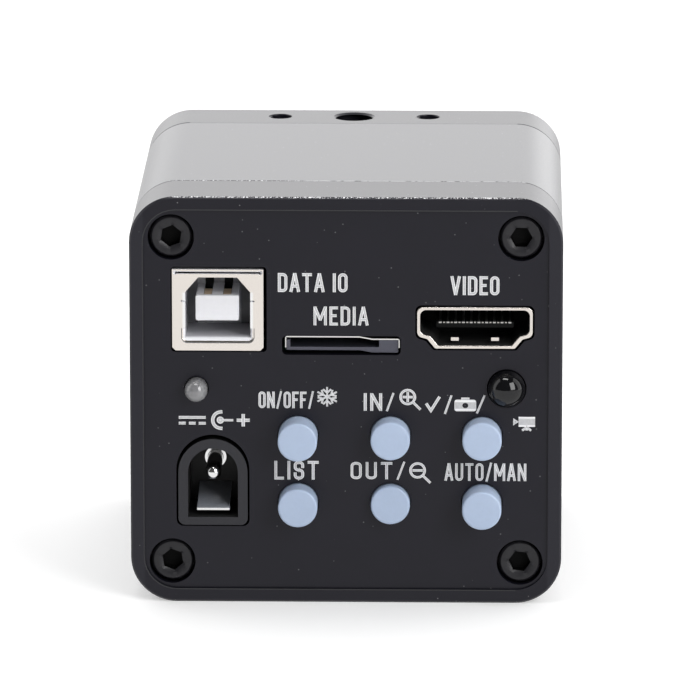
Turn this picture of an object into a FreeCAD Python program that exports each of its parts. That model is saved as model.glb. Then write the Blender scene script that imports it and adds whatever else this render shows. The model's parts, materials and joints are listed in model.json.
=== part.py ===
"""Microscope camera: a three-piece aluminium housing with a lens ring, boards, sockets and push buttons.

Millimetres. The origin is the centre of the lens flange, on the optical axis: +Y points out of the lens
mount, +Z is up, and the panel with the sockets and buttons faces -Y. Panel heights are measured from the
optical axis.
"""

import FreeCAD
import Part

import math
import os

from FreeCAD import Vector

# Housing
BODY_WIDTH = 56.0
BODY_HEIGHT = 54.0
CORNER_RADIUS = 6.0
WALL = 2.0
FRONT_COVER_LENGTH = 9.0
TUBE_LENGTH = 37.0
BACK_COVER_LENGTH = 10.0
PANEL_THICKNESS = 2.4
EDGE_CHAMFER = 0.25
SEAM_CHAMFER = 0.12
FACE_RIM = 1.8
FACE_RECESS = 0.4
RAIL_DEPTH = 1.3
RAIL_THICKNESS = 1.0

# Socket head screws of the two covers
SCREW_INSET = 5.4
SCREW_COLUMN_RADIUS = 3.6
SOCKET_RELIEF = 0.3
SCREW_RADIUS = 1.5
SCREW_HEAD_RADIUS = 2.75
SCREW_HEAD_HEIGHT = 3.0
SCREW_SOCKET_FLATS = 2.5
SCREW_SOCKET_DEPTH = 1.6
SCREW_HEAD_SINK = 0.5
SCREW_HEAD_CHAMFER = 0.3
SCREW_TUBE_REACH = 8.0
SCREW_HOLE_SPARE = 2.0
COUNTERBORE_CLEARANCE = 0.25
THREAD_CLEARANCE = 0.03

# Small screws that hold the boards
BOARD_SCREW_RADIUS = 1.0
BOARD_SCREW_HEAD_RADIUS = 1.9
BOARD_SCREW_HEAD_HEIGHT = 1.3
BOARD_SCREW_REACH = 4.0
BOARD_SCREW_SLOT_FLATS = 1.3
BOARD_SCREW_SLOT_DEPTH = 0.7
BOARD_HOLE_CLEARANCE = 0.15
STANDOFF_RADIUS = 2.3

# Lens mount, filter and image sensor
LENS_THREAD_RADIUS = 12.7
LENS_RING_RADIUS = 15.5
LENS_RING_NECK_RADIUS = 14.5
LENS_RING_PROUD = 4.0
LENS_RING_SEAT_DEPTH = 5.0
LENS_RING_CHAMFER = 0.4
FLANGE_TO_SENSOR = 17.526
APERTURE_RADIUS = 11.0
FILTER_RADIUS = 11.8
FILTER_THICKNESS = 1.0
GASKET_WIDTH = 26.0
GASKET_OPENING_WIDTH = 15.0
GASKET_CORNER = 2.0
SENSOR_WIDTH = 12.0
SENSOR_HEIGHT = 11.0
SENSOR_WALL = 1.2
SENSOR_PACKAGE_THICKNESS = 1.5
SENSOR_FLOOR = 0.4
SENSOR_DIE_WIDTH = 7.6
SENSOR_DIE_HEIGHT = 6.0
SENSOR_DIE_THICKNESS = 0.5
SENSOR_WINDOW_THICKNESS = 0.5
SENSOR_WINDOW_MARGIN = 0.4

# Threaded holes in the top of the front cover
TRIPOD_RADIUS = 3.175
TRIPOD_DEPTH = 8.0
ACCESSORY_RADIUS = 1.5
ACCESSORY_PITCH = 20.0
ACCESSORY_DEPTH = 6.0
HOLE_CHAMFER = 0.1

# Boards
BOARD_THICKNESS = 1.6
BOARD_CLEARANCE = 0.15
MAIN_BOARD_TOP = 0.1222 * BODY_HEIGHT
MAIN_BOARD_SETBACK = 3.8
MAIN_BOARD_FRONT_GAP = 5.0
SENSOR_BOARD_WIDTH = BODY_WIDTH * 5 / 7
SENSOR_BOARD_HEIGHT = BODY_HEIGHT * 2 / 3
SENSOR_BOARD_CORNER = 2.0
SENSOR_HOLE_INSET = 3.0
KEY_BOARD_EDGE_GAP = 1.8
KEY_BOARD_TOP_GAP = 0.5
KEY_BOARD_COLUMN_GAP = 1.0
KEY_BOARD_FOOT_GAP = 1.5
KEY_BOARD_STEM = (-12.0, 16.0)
KEY_BOARD_UPPER_BOSS = (0.0, 1.0)
KEY_BOARD_LOWER_BOSSES = (-8.0, 12.0)
KEY_BOARD_BOSS_RISE = 4.5

# Chips and links between the boards
PROCESSOR_SIZE = 12.0
PROCESSOR_THICKNESS = 1.4
PROCESSOR_X = -8.0
MEMORY_WIDTH = 8.0
MEMORY_LENGTH = 11.0
MEMORY_THICKNESS = 1.0
MEMORY_X = (7.0, 17.0)
FLEX_WIDTH = 12.0
FLEX_THICKNESS = 0.3
FLEX_BEND_RADIUS = 3.0
FLEX_RUN = 0.6
FLEX_CONNECTOR_HEIGHT = 2.0
FLEX_CONNECTOR_DEPTH = 2.4
FLEX_CONNECTOR_MARGIN = 1.0
BOARD_LINK_X = (-14.0, -4.0)
BOARD_LINK_DEPTH = 2.5
BOARD_LINK_DROP = 3.0

# Data socket, a folded steel box round a tongue with four contacts
DATA_WIDTH = 11.8
DATA_HEIGHT = 10.75
DATA_DEPTH = 16.0
DATA_INSET = 0.0986 * BODY_WIDTH
DATA_PROUD = 0.1
DATA_SHEET = 0.4
DATA_FOOT_CHAMFER = 0.42
DATA_FOLD_DROP = 0.24
DATA_FOLD_HEIGHT = 0.36
DATA_FOLD_INSET = 0.4
DATA_RELIEF_RADIUS = 0.28
DATA_OPENING_WIDTH = 8.4
DATA_OPENING_TOP_GAP = 1.05
DATA_OPENING_BOTTOM_GAP = 1.7
DATA_OPENING_CLIP_WIDTH = 1.68
DATA_OPENING_CLIP_HEIGHT = 1.95
DATA_LIP_BEND = 0.65
DATA_LIP_FLARE = 0.45
DATA_LIP_HEIGHT = 1.9
DATA_LIP_INNER_CORNER = 0.15
DATA_LIP_OUTER_CORNER = 0.8
DATA_LIP_SLIT = 0.08
DATA_LIP_STATIONS = 5
DATA_SLEEVE_DEPTH = 8.5
DATA_SEAM_LENGTH = 0.55
DATA_SEAM_HEIGHT = 0.2
DATA_SEAM_DROP = 4.2
DATA_TONGUE_WIDTH = 5.6
DATA_TONGUE_HEIGHT = 3.3
DATA_TONGUE_BOTTOM = 3.78
DATA_TONGUE_SHIFT = -0.1
DATA_TONGUE_SETBACK = 1.0
DATA_TONGUE_CORNER = 0.25
DATA_CONTACT_PITCH = 2.5
DATA_CONTACT_WIDTH = 1.0
DATA_CONTACT_THICKNESS = 0.3
DATA_CONTACT_SETBACK = 0.8
DATA_CONTACT_FLAT = 3.2
DATA_CONTACT_SLOPE_LENGTH = 1.0
DATA_CONTACT_DIP = 1.1
DATA_CUTOUT_LEFT_GAP = 0.18
DATA_CUTOUT_RIGHT_GAP = 0.42
DATA_CUTOUT_TOP_GAP = 0.33
DATA_CUTOUT_BOTTOM_GAP = 0.2
DATA_CUTOUT_CORNER = 0.5

# Video socket, a shaped steel shell round a flat tongue with two rows of contacts
VIDEO_WIDTH = 14.95
VIDEO_HEIGHT = 5.5
VIDEO_DEPTH = 11.5
VIDEO_INSET = 0.069 * BODY_WIDTH
VIDEO_LIFT = 0.39
VIDEO_PROUD = 0.1
VIDEO_SHEET = 0.4
VIDEO_TOP_CORNER = 0.8
VIDEO_SHOULDER_DROP = 3.9
VIDEO_SHOULDER_FALL = 0.35
VIDEO_SHOULDER_WIDTH = 1.3
VIDEO_SHOULDER_CORNER = 0.5
VIDEO_FLOOR_WIDTH = 10.3
VIDEO_FLOOR_CORNER = 0.4
VIDEO_BLOCK_DEPTH = 3.5
VIDEO_TONGUE_WIDTH = 10.0
VIDEO_TONGUE_THICKNESS = 0.75
VIDEO_TONGUE_DROP = 2.65
VIDEO_TONGUE_SETBACK = 1.6
VIDEO_CONTACT_PITCH = 1.0
VIDEO_CONTACT_WIDTH = 0.34
VIDEO_CONTACT_THICKNESS = 0.18
VIDEO_LOWER_CONTACT_SETBACK = 0.8
VIDEO_UPPER_CONTACTS = 10
VIDEO_LOWER_CONTACTS = 9
VIDEO_TAB_OFFSET = 2.6
VIDEO_TAB_WIDTH = 1.0
VIDEO_TAB_LENGTH = 3.0
VIDEO_TAB_HEIGHT = 0.85
VIDEO_TAB_THICKNESS = 0.3
VIDEO_TAB_SETBACK = 1.2
VIDEO_CUTOUT_GAP = 0.22

# Memory card slot, near the middle between the data and video sockets
CARD_WIDTH = 14.86
CARD_HEIGHT = 1.87
CARD_SHIFT = 0.27
CARD_DEPTH = 14.5
CARD_SETBACK = 0.5
CARD_SHEET = 0.2
CARD_OPENING_WIDTH = 11.5
CARD_OPENING_DEPTH = 12.0
CARD_FLOOR = 0.42
CARD_SIDE_WALL = 0.48
CARD_STEP = 0.3
CARD_STEP_WIDTH = 3.6
CARD_STEP_SLOPE = 1.6
CARD_NOSE_DROP = 0.3
CARD_NOSE_GAP = 0.3
CARD_COVER_LIFT = 0.3
CARD_COVER_CORNER = 0.3
CARD_CONTACTS = 8
CARD_CONTACT_PITCH = 1.1
CARD_CONTACT_WIDTH = 0.6
CARD_CONTACT_THICKNESS = 0.15
CARD_CONTACT_LENGTH = 5.0
CARD_CUTOUT_CORNER = 0.6
CARD_CUTOUT_LEFT_GAP = 0.38
CARD_CUTOUT_RIGHT_GAP = 0.12
CARD_CUTOUT_TOP_GAP = 0.12
CARD_CUTOUT_BOTTOM_GAP = 0.54

# Power jack, a moulded D-shaped body with a centre pin and a leaf spring
JACK_WIDTH = 9.0
JACK_HEIGHT = 11.5
JACK_DEPTH = 14.2
JACK_INSET = 6.2
JACK_BOTTOM = -0.3102 * BODY_HEIGHT
JACK_FOOT_CORNER = 0.9
JACK_SIDE_WALL = 1.25
JACK_FLOOR_WALL = 1.05
JACK_CAVITY_DEPTH = 9.8
JACK_PIN_RADIUS = 1.0
JACK_PIN_HEIGHT = 6.8
JACK_PIN_SETBACK = 0.4
JACK_COLLAR_RADIUS = 1.45
JACK_COLLAR_LENGTH = 0.6
JACK_SPRING_WIDTH = 4.3
JACK_SPRING_THICKNESS = 0.4
JACK_SPRING_SETBACK = 0.9
JACK_SPRING_FRONT_LIFT = 0.65
JACK_SPRING_RISE = 1.3
JACK_CUTOUT_SIDE_GAP = 0.25
JACK_CUTOUT_TOP_GAP = 0.6
JACK_CUTOUT_FOOT_GAP = 0.15

# Push buttons on tactile switches, placed by shares of the body's width and height; each cap sits on its
# stem at its own depth
BUTTON_COLUMN_SHARES = (-0.111, 0.103, 0.315)
BUTTON_ROW_SHARES = (-0.0872, -0.2539)
BUTTON_NAMES = (("power", "up", "confirm"), ("menu", "down", "mode"))
BUTTON_PROUD = {"power": 3.9, "up": 3.0, "confirm": 3.0, "menu": 3.1, "down": 1.3, "mode": 3.9}
BUTTON_RADIUS = 2.55
BUTTON_CLEARANCE = 0.15
BUTTON_LENGTH = 9.0
BUTTON_FACE_THICKNESS = 2.4
BUTTON_EDGE_RADIUS = 0.35
BUTTON_TRAVEL = 0.25
STEM_RADIUS = 1.75
STEM_FIT = 0.02
STEM_END_DEPTH = 1.7
SWITCH_SIZE = 6.0
SWITCH_HEIGHT = 3.5
SWITCH_WELL_DEPTH = 1.6
SWITCH_WELL_CLEARANCE = 0.08
SWITCH_CORNER = 0.5
STEM_STOP_GAP = 0.05

# Indicator light and remote control receiver, both moulded like lamps on wire leads
LED_X = -0.3464 * BODY_WIDTH
LED_HEIGHT = BODY_HEIGHT / 36
LED_RADIUS = 1.5
LED_PROUD = 2.5
LED_FLANGE_RADIUS = 1.9
LED_FLANGE_THICKNESS = 1.0
LED_SEAT_GAP = 0.1
LED_LEADS = (-0.635, 0.635)
RECEIVER_X = 0.3714 * BODY_WIDTH
RECEIVER_HEIGHT = 0.0315 * BODY_HEIGHT
RECEIVER_RADIUS = 2.45
RECEIVER_PROUD = 2.5
RECEIVER_FLANGE_RADIUS = 2.8
RECEIVER_FLANGE_THICKNESS = 1.0
RECEIVER_SEAT_GAP = 1.2
RECEIVER_LEADS = (-1.27, 0.0, 1.27)
LEAD_SIZE = 0.5
LAMP_HOLE_CLEARANCE = 0.12

# Stations along the optical axis
Y_FRONT = -LENS_RING_PROUD
Y_TUBE_FRONT = Y_FRONT - FRONT_COVER_LENGTH
Y_TUBE_BACK = Y_TUBE_FRONT - TUBE_LENGTH
Y_RIM = Y_TUBE_BACK - BACK_COVER_LENGTH
Y_FACE = Y_RIM + FACE_RECESS
Y_PANEL_IN = Y_FACE + PANEL_THICKNESS
Y_SENSOR_BOARD = -FLANGE_TO_SENSOR - SENSOR_DIE_THICKNESS - SENSOR_FLOOR
Y_SENSOR_BOARD_BACK = Y_SENSOR_BOARD - BOARD_THICKNESS
Y_KEY_BOARD = Y_FACE + JACK_DEPTH
Y_KEY_BOARD_FRONT = Y_KEY_BOARD + BOARD_THICKNESS
Y_MAIN_BOARD_BACK = Y_PANEL_IN + MAIN_BOARD_SETBACK
Y_MAIN_BOARD_FRONT = Y_SENSOR_BOARD_BACK - MAIN_BOARD_FRONT_GAP
MAIN_BOARD_BOTTOM = MAIN_BOARD_TOP - BOARD_THICKNESS
INNER_HALF_WIDTH = BODY_WIDTH / 2 - WALL
INNER_HALF_HEIGHT = BODY_HEIGHT / 2 - WALL

# Centres of the sockets across the panel
DATA_X = -BODY_WIDTH / 2 + DATA_INSET + DATA_WIDTH / 2
DATA_TONGUE_X = DATA_X + DATA_TONGUE_SHIFT
VIDEO_X = BODY_WIDTH / 2 - VIDEO_INSET - VIDEO_WIDTH / 2
CARD_X = (DATA_X + DATA_WIDTH / 2 + VIDEO_X - VIDEO_WIDTH / 2) / 2 + CARD_SHIFT
JACK_X = -BODY_WIDTH / 2 + JACK_INSET + JACK_WIDTH / 2
DATA_BOTTOM = MAIN_BOARD_TOP
DATA_TOP = DATA_BOTTOM + DATA_HEIGHT
VIDEO_BOTTOM = MAIN_BOARD_TOP + VIDEO_LIFT
VIDEO_TOP = VIDEO_BOTTOM + VIDEO_HEIGHT
CARD_BOTTOM = MAIN_BOARD_TOP
CARD_TOP = CARD_BOTTOM + CARD_HEIGHT
JACK_TOP = JACK_BOTTOM + JACK_HEIGHT
JACK_PIN_Z = JACK_BOTTOM + JACK_PIN_HEIGHT
Y_DATA = Y_FACE - DATA_PROUD
Y_VIDEO = Y_FACE - VIDEO_PROUD
Y_CARD = Y_FACE + CARD_SETBACK

# Margin by which a cutting tool passes the face that it opens
OVERCUT = 1.0
FULL_TURN = 360.0
HEXAGON_SIDES = 6

# Lengths too small to matter: to compare places, and to keep a straight stretch beside a half round
TOLERANCE = 1e-6
ROUND_SLACK = 1e-4

ALONG_Y = Vector(0, 1, 0)


# Helpers


def box(x, y, z):
    """Block between the two ends of each range."""
    low = Vector(min(x), min(y), min(z))
    return Part.makeBox(max(x) - min(x), max(y) - min(y), max(z) - min(z), low)


def rod_y(radius, x, z, y):
    """Cylinder along Y between the two ends of the range y."""
    return Part.makeCylinder(radius, max(y) - min(y), Vector(x, min(y), z), ALONG_Y)


def outline_face(corners, y):
    """Flat face at station y from corners (x, z, radius) in order round it."""
    rounded = []
    for index, (x, z, radius) in enumerate(corners):
        here = Vector(x, y, z)
        if radius <= 0:
            rounded.append((here, None, here))
            continue
        before = corners[index - 1]
        after = corners[(index + 1) % len(corners)]
        to_before = (Vector(before[0], y, before[1]) - here).normalize()
        to_after = (Vector(after[0], y, after[1]) - here).normalize()
        half_angle = to_before.getAngle(to_after) / 2
        reach = radius / math.tan(half_angle)
        inwards = (to_before + to_after).normalize()
        middle = here + inwards * (radius / math.sin(half_angle) - radius)
        rounded.append((here + to_before * reach, middle, here + to_after * reach))
    edges = []
    for index, (start, middle, end) in enumerate(rounded):
        if middle is not None:
            edges.append(Part.Arc(start, middle, end).toShape())
        following = rounded[(index + 1) % len(rounded)][0]
        if end.distanceToPoint(following) > TOLERANCE:
            edges.append(Part.LineSegment(end, following).toShape())
    return Part.Face(Part.Wire(edges))


def plate(corners, y):
    """Outline of corners (x, z, radius) extruded along Y over the range y."""
    return outline_face(corners, min(y)).extrude(ALONG_Y * (max(y) - min(y)))


def rectangle(x, z, radius=0.0):
    """Corners of a rectangle between the ends of the ranges x and z, all with one radius."""
    return [
        (min(x), min(z), radius),
        (max(x), min(z), radius),
        (max(x), max(z), radius),
        (min(x), max(z), radius),
    ]


def centred(centre, size):
    """Range of a size about its centre."""
    return (centre - size / 2, centre + size / 2)


def grown(span, margin):
    """Range made longer by a margin at both ends."""
    return (span[0] - margin, span[1] + margin)


def turned_y(profile, x, z):
    """Solid turned about an axis along Y through (x, z), from points (radius, y)."""
    points = [Vector(x + radius, y, z) for radius, y in profile]
    face = Part.Face(Part.makePolygon(points + points[:1]))
    return face.revolve(Vector(x, 0, z), ALONG_Y, FULL_TURN)


def side_profile(points, x):
    """Outline of points (y, z) extruded along X over the range x."""
    corners = [Vector(min(x), y, z) for y, z in points]
    face = Part.Face(Part.makePolygon(corners + corners[:1]))
    return face.extrude(Vector(max(x) - min(x), 0, 0))


def hexagon_hole(flats, x, z, y):
    """Six-sided prism for a socket, over the range y."""
    half_step = math.pi / HEXAGON_SIDES
    corner_radius = flats / 2 / math.cos(half_step)
    angles = [half_step * (2 * side + 1) for side in range(HEXAGON_SIDES)]
    return plate([(x + corner_radius * math.cos(a), z + corner_radius * math.sin(a), 0) for a in angles], y)


def edges_on_plane_y(shape, y):
    """Edges of the shape that lie wholly in the plane at station y."""
    on_plane = []
    for edge in shape.Edges:
        bounds = edge.BoundBox
        if abs(bounds.YMin - y) < TOLERANCE and abs(bounds.YMax - y) < TOLERANCE:
            on_plane.append(edge)
    return on_plane


def screw_places():
    """Centres (x, z) of the four corner screws."""
    x = BODY_WIDTH / 2 - SCREW_INSET
    z = BODY_HEIGHT / 2 - SCREW_INSET
    return [(-x, -z), (x, -z), (x, z), (-x, z)]


def sensor_screw_places():
    """Centres (x, z) of the four screws of the sensor board."""
    x = SENSOR_BOARD_WIDTH / 2 - SENSOR_HOLE_INSET
    z = SENSOR_BOARD_HEIGHT / 2 - SENSOR_HOLE_INSET
    return [(-x, -z), (x, -z), (x, z), (-x, z)]


def key_board_bosses():
    """Centres (x, z) of the bosses that hold the key board: one above, the others along the foot."""
    foot = -INNER_HALF_HEIGHT + KEY_BOARD_BOSS_RISE
    return [KEY_BOARD_UPPER_BOSS] + [(x, foot) for x in KEY_BOARD_LOWER_BOSSES]


def button_places():
    """Name and centre (x, z) of each push button."""
    columns = [share * BODY_WIDTH for share in BUTTON_COLUMN_SHARES]
    rows = [share * BODY_HEIGHT for share in BUTTON_ROW_SHARES]
    return [
        (name, x, z)
        for z, row in zip(rows, BUTTON_NAMES)
        for x, name in zip(columns, row)
    ]


# Housing


def housing_block(low_end, high_end):
    """Solid block with the housing's outline between two ends, each given as (station, edge chamfer)."""
    outline = rectangle(centred(0, BODY_WIDTH), centred(0, BODY_HEIGHT), CORNER_RADIUS)
    block = plate(outline, (low_end[0], high_end[0]))
    for station, chamfer in (low_end, high_end):
        block = block.makeChamfer(chamfer, edges_on_plane_y(block, station))
    return block


def housing_cavity(y):
    """Inside of the housing over the range y: the walls' inner outline less the four screw columns."""
    outline = rectangle(
        (-INNER_HALF_WIDTH, INNER_HALF_WIDTH), (-INNER_HALF_HEIGHT, INNER_HALF_HEIGHT), CORNER_RADIUS - WALL
    )
    columns = [rod_y(SCREW_COLUMN_RADIUS, x, z, y) for x, z in screw_places()]
    reach = grown(y, OVERCUT)
    socket_room = [
        plate(data_outline(SOCKET_RELIEF), reach),
        plate(jack_outline(SOCKET_RELIEF, SOCKET_RELIEF, SOCKET_RELIEF, 0), reach),
    ]
    cavity = plate(outline, y)
    for column in columns:
        for room in socket_room:
            column = column.cut(room)
        cavity = cavity.cut(column)
    return cavity


def make_body_tube():
    """Middle of the housing: a tube with screw columns and a pair of rails each side for the main board."""
    span = (Y_TUBE_BACK, Y_TUBE_FRONT)
    tube = housing_block((Y_TUBE_BACK, SEAM_CHAMFER), (Y_TUBE_FRONT, SEAM_CHAMFER))
    tube = tube.cut(housing_cavity(grown(span, OVERCUT)))
    rail_low = MAIN_BOARD_BOTTOM - BOARD_CLEARANCE
    rail_high = MAIN_BOARD_TOP + BOARD_CLEARANCE
    for side in (-1, 1):
        x = (side * (INNER_HALF_WIDTH - RAIL_DEPTH), side * (INNER_HALF_WIDTH + WALL / 2))
        tube = tube.fuse(box(x, span, (rail_low - RAIL_THICKNESS, rail_low)))
        tube = tube.fuse(box(x, span, (rail_high, rail_high + RAIL_THICKNESS)))
    depth = SCREW_TUBE_REACH + SCREW_HOLE_SPARE
    for x, z in screw_places():
        radius = SCREW_RADIUS + THREAD_CLEARANCE
        tube = tube.cut(rod_y(radius, x, z, (Y_TUBE_BACK - OVERCUT, Y_TUBE_BACK + depth)))
        tube = tube.cut(rod_y(radius, x, z, (Y_TUBE_FRONT - depth, Y_TUBE_FRONT + OVERCUT)))
    return tube.removeSplitter()


def data_outline(margin):
    """Outline of the data socket's box, grown by a margin."""
    x = grown(centred(DATA_X, DATA_WIDTH), margin)
    return rectangle(x, grown((DATA_BOTTOM, DATA_TOP), margin))


def video_outline(margin):
    """Outline of the video socket's shell, grown by a margin: wide above, with sloping shoulders below."""
    half_top = VIDEO_WIDTH / 2 + margin
    half_shoulder = VIDEO_WIDTH / 2 - VIDEO_SHOULDER_WIDTH + margin
    half_floor = VIDEO_FLOOR_WIDTH / 2 + margin
    top = VIDEO_TOP + margin
    shoulder = VIDEO_TOP - VIDEO_SHOULDER_DROP - margin
    step = shoulder - VIDEO_SHOULDER_FALL
    floor = VIDEO_BOTTOM - margin
    right = [
        (half_floor, floor, VIDEO_FLOOR_CORNER),
        (half_shoulder, step, VIDEO_SHOULDER_CORNER),
        (half_top, shoulder, VIDEO_TOP_CORNER),
        (half_top, top, VIDEO_TOP_CORNER),
    ]
    left = [(-x, z, radius) for x, z, radius in reversed(right)]
    return [(VIDEO_X + x, z, radius) for x, z, radius in right + left]


def jack_outline(side, top, foot, corner):
    """Outline of the power jack: a square foot below a half round, grown by a margin on each side."""
    half = JACK_WIDTH / 2 + side
    crown = JACK_TOP + top
    bottom = JACK_BOTTOM - foot
    return [
        (JACK_X - half, bottom, corner),
        (JACK_X + half, bottom, corner),
        (JACK_X + half, crown, half - ROUND_SLACK),
        (JACK_X - half, crown, half - ROUND_SLACK),
    ]


def panel_cutouts():
    """Tools that cut every opening of the panel, except the screw holes."""
    through = (Y_RIM - OVERCUT, Y_PANEL_IN + OVERCUT)
    data_left, data_right = centred(DATA_X, DATA_WIDTH)
    data_x = (data_left - DATA_CUTOUT_LEFT_GAP, data_right + DATA_CUTOUT_RIGHT_GAP)
    data_z = (DATA_BOTTOM - DATA_CUTOUT_BOTTOM_GAP, DATA_TOP + DATA_CUTOUT_TOP_GAP)
    card_left, card_right = centred(CARD_X, CARD_WIDTH)
    card_x = (card_left - CARD_CUTOUT_LEFT_GAP, card_right + CARD_CUTOUT_RIGHT_GAP)
    card_z = (CARD_BOTTOM - CARD_CUTOUT_BOTTOM_GAP, CARD_TOP + CARD_CUTOUT_TOP_GAP)
    jack = jack_outline(JACK_CUTOUT_SIDE_GAP, JACK_CUTOUT_TOP_GAP, JACK_CUTOUT_FOOT_GAP, JACK_FOOT_CORNER)
    tools = [
        plate(rectangle(data_x, data_z, DATA_CUTOUT_CORNER), through),
        plate(video_outline(VIDEO_CUTOUT_GAP), through),
        plate(rectangle(card_x, card_z, CARD_CUTOUT_CORNER), through),
        plate(jack, through),
        rod_y(LED_RADIUS + LAMP_HOLE_CLEARANCE, LED_X, LED_HEIGHT, through),
        rod_y(RECEIVER_RADIUS + LAMP_HOLE_CLEARANCE, RECEIVER_X, RECEIVER_HEIGHT, through),
    ]
    for _name, x, z in button_places():
        tools.append(rod_y(BUTTON_RADIUS + BUTTON_CLEARANCE, x, z, through))
    return tools


def make_back_cover():
    """Back cover: a deep cap with its panel sunk inside a narrow rim, and bosses for the key board."""
    cover = housing_block((Y_RIM, EDGE_CHAMFER), (Y_TUBE_BACK, SEAM_CHAMFER))
    recess_x = centred(0, BODY_WIDTH - 2 * FACE_RIM)
    recess_z = centred(0, BODY_HEIGHT - 2 * FACE_RIM)
    recess = rectangle(recess_x, recess_z, CORNER_RADIUS - FACE_RIM)
    cover = cover.cut(plate(recess, (Y_RIM - OVERCUT, Y_FACE)))
    cover = cover.cut(housing_cavity((Y_PANEL_IN, Y_TUBE_BACK + OVERCUT)))
    for x, z in key_board_bosses():
        boss = rod_y(STANDOFF_RADIUS, x, z, (Y_PANEL_IN - PANEL_THICKNESS / 2, Y_KEY_BOARD))
        hole_end = Y_KEY_BOARD - BOARD_SCREW_REACH - BOARD_SCREW_RADIUS
        hole = rod_y(BOARD_SCREW_RADIUS + THREAD_CLEARANCE, x, z, (hole_end, Y_KEY_BOARD + OVERCUT))
        cover = cover.fuse(boss).cut(hole)
    seat = Y_FACE + SCREW_HEAD_SINK + SCREW_HEAD_HEIGHT
    through = (Y_RIM - OVERCUT, Y_TUBE_BACK + OVERCUT)
    for x, z in screw_places():
        cover = cover.cut(rod_y(SCREW_HEAD_RADIUS + COUNTERBORE_CLEARANCE, x, z, (through[0], seat)))
        cover = cover.cut(rod_y(SCREW_RADIUS + THREAD_CLEARANCE, x, z, through))
    for tool in panel_cutouts():
        cover = cover.cut(tool)
    return cover.removeSplitter()


def top_hole(radius, depth, x, y):
    """Tool for a hole down from the top face, with a chamfered mouth."""
    top = BODY_HEIGHT / 2
    hole = Part.makeCylinder(radius, depth + OVERCUT, Vector(x, y, top - depth))
    mouth = Part.makeCone(
        radius, radius + HOLE_CHAMFER + OVERCUT, HOLE_CHAMFER + OVERCUT, Vector(x, y, top - HOLE_CHAMFER)
    )
    return hole.fuse(mouth)


def make_front_cover():
    """Front cover: a thick plate with seats for the lens ring and filter and standoffs for the sensor."""
    cover = housing_block((Y_TUBE_FRONT, SEAM_CHAMFER), (Y_FRONT, EDGE_CHAMFER))
    seat_floor = Y_FRONT - LENS_RING_SEAT_DEPTH
    ring_seat = rod_y(LENS_RING_NECK_RADIUS + THREAD_CLEARANCE, 0, 0, (seat_floor, Y_FRONT + OVERCUT))
    aperture = rod_y(APERTURE_RADIUS, 0, 0, (Y_TUBE_FRONT - OVERCUT, Y_FRONT))
    filter_seat_depth = Y_TUBE_FRONT + FILTER_THICKNESS
    filter_seat = rod_y(FILTER_RADIUS + THREAD_CLEARANCE, 0, 0, (Y_TUBE_FRONT - OVERCUT, filter_seat_depth))
    cover = cover.cut(ring_seat).cut(aperture).cut(filter_seat)
    for x, z in sensor_screw_places():
        standoff = rod_y(STANDOFF_RADIUS, x, z, (Y_SENSOR_BOARD, Y_TUBE_FRONT + WALL))
        hole_end = Y_SENSOR_BOARD + BOARD_SCREW_REACH + BOARD_SCREW_RADIUS
        hole = rod_y(BOARD_SCREW_RADIUS + THREAD_CLEARANCE, x, z, (Y_SENSOR_BOARD - OVERCUT, hole_end))
        cover = cover.fuse(standoff).cut(hole)
    seat = Y_FRONT - SCREW_HEAD_SINK - SCREW_HEAD_HEIGHT
    through = (Y_TUBE_FRONT - OVERCUT, Y_FRONT + OVERCUT)
    for x, z in screw_places():
        cover = cover.cut(rod_y(SCREW_HEAD_RADIUS + COUNTERBORE_CLEARANCE, x, z, (seat, through[1])))
        cover = cover.cut(rod_y(SCREW_RADIUS + THREAD_CLEARANCE, x, z, through))
    hole_y = (Y_TUBE_FRONT + Y_FRONT) / 2
    cover = cover.cut(top_hole(TRIPOD_RADIUS, TRIPOD_DEPTH, 0, hole_y))
    for side in (-1, 1):
        cover = cover.cut(top_hole(ACCESSORY_RADIUS, ACCESSORY_DEPTH, side * ACCESSORY_PITCH / 2, hole_y))
    return cover.removeSplitter()


def cap_screw(x, z, head_top, seat, tip):
    """Socket head cap screw along Y, from its head's top face to its tip."""
    way = 1 if tip > seat else -1
    chamfer = SCREW_HEAD_CHAMFER
    profile = [
        (0, head_top),
        (SCREW_HEAD_RADIUS - chamfer, head_top),
        (SCREW_HEAD_RADIUS, head_top + way * chamfer),
        (SCREW_HEAD_RADIUS, seat),
        (SCREW_RADIUS, seat),
        (SCREW_RADIUS, tip - way * chamfer),
        (SCREW_RADIUS - chamfer, tip),
        (0, tip),
    ]
    socket = (head_top - way * OVERCUT, head_top + way * SCREW_SOCKET_DEPTH)
    return turned_y(profile, x, z).cut(hexagon_hole(SCREW_SOCKET_FLATS, x, z, socket))


def make_back_cover_screws():
    """Four screws from the panel side into the tube."""
    head_top = Y_FACE + SCREW_HEAD_SINK
    seat = head_top + SCREW_HEAD_HEIGHT
    tip = Y_TUBE_BACK + SCREW_TUBE_REACH
    return Part.Compound([cap_screw(x, z, head_top, seat, tip) for x, z in screw_places()])


def make_front_cover_screws():
    """Four screws from the lens side into the tube."""
    head_top = Y_FRONT - SCREW_HEAD_SINK
    seat = head_top - SCREW_HEAD_HEIGHT
    tip = Y_TUBE_FRONT - SCREW_TUBE_REACH
    return Part.Compound([cap_screw(x, z, head_top, seat, tip) for x, z in screw_places()])


# Lens mount and image sensor


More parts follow.
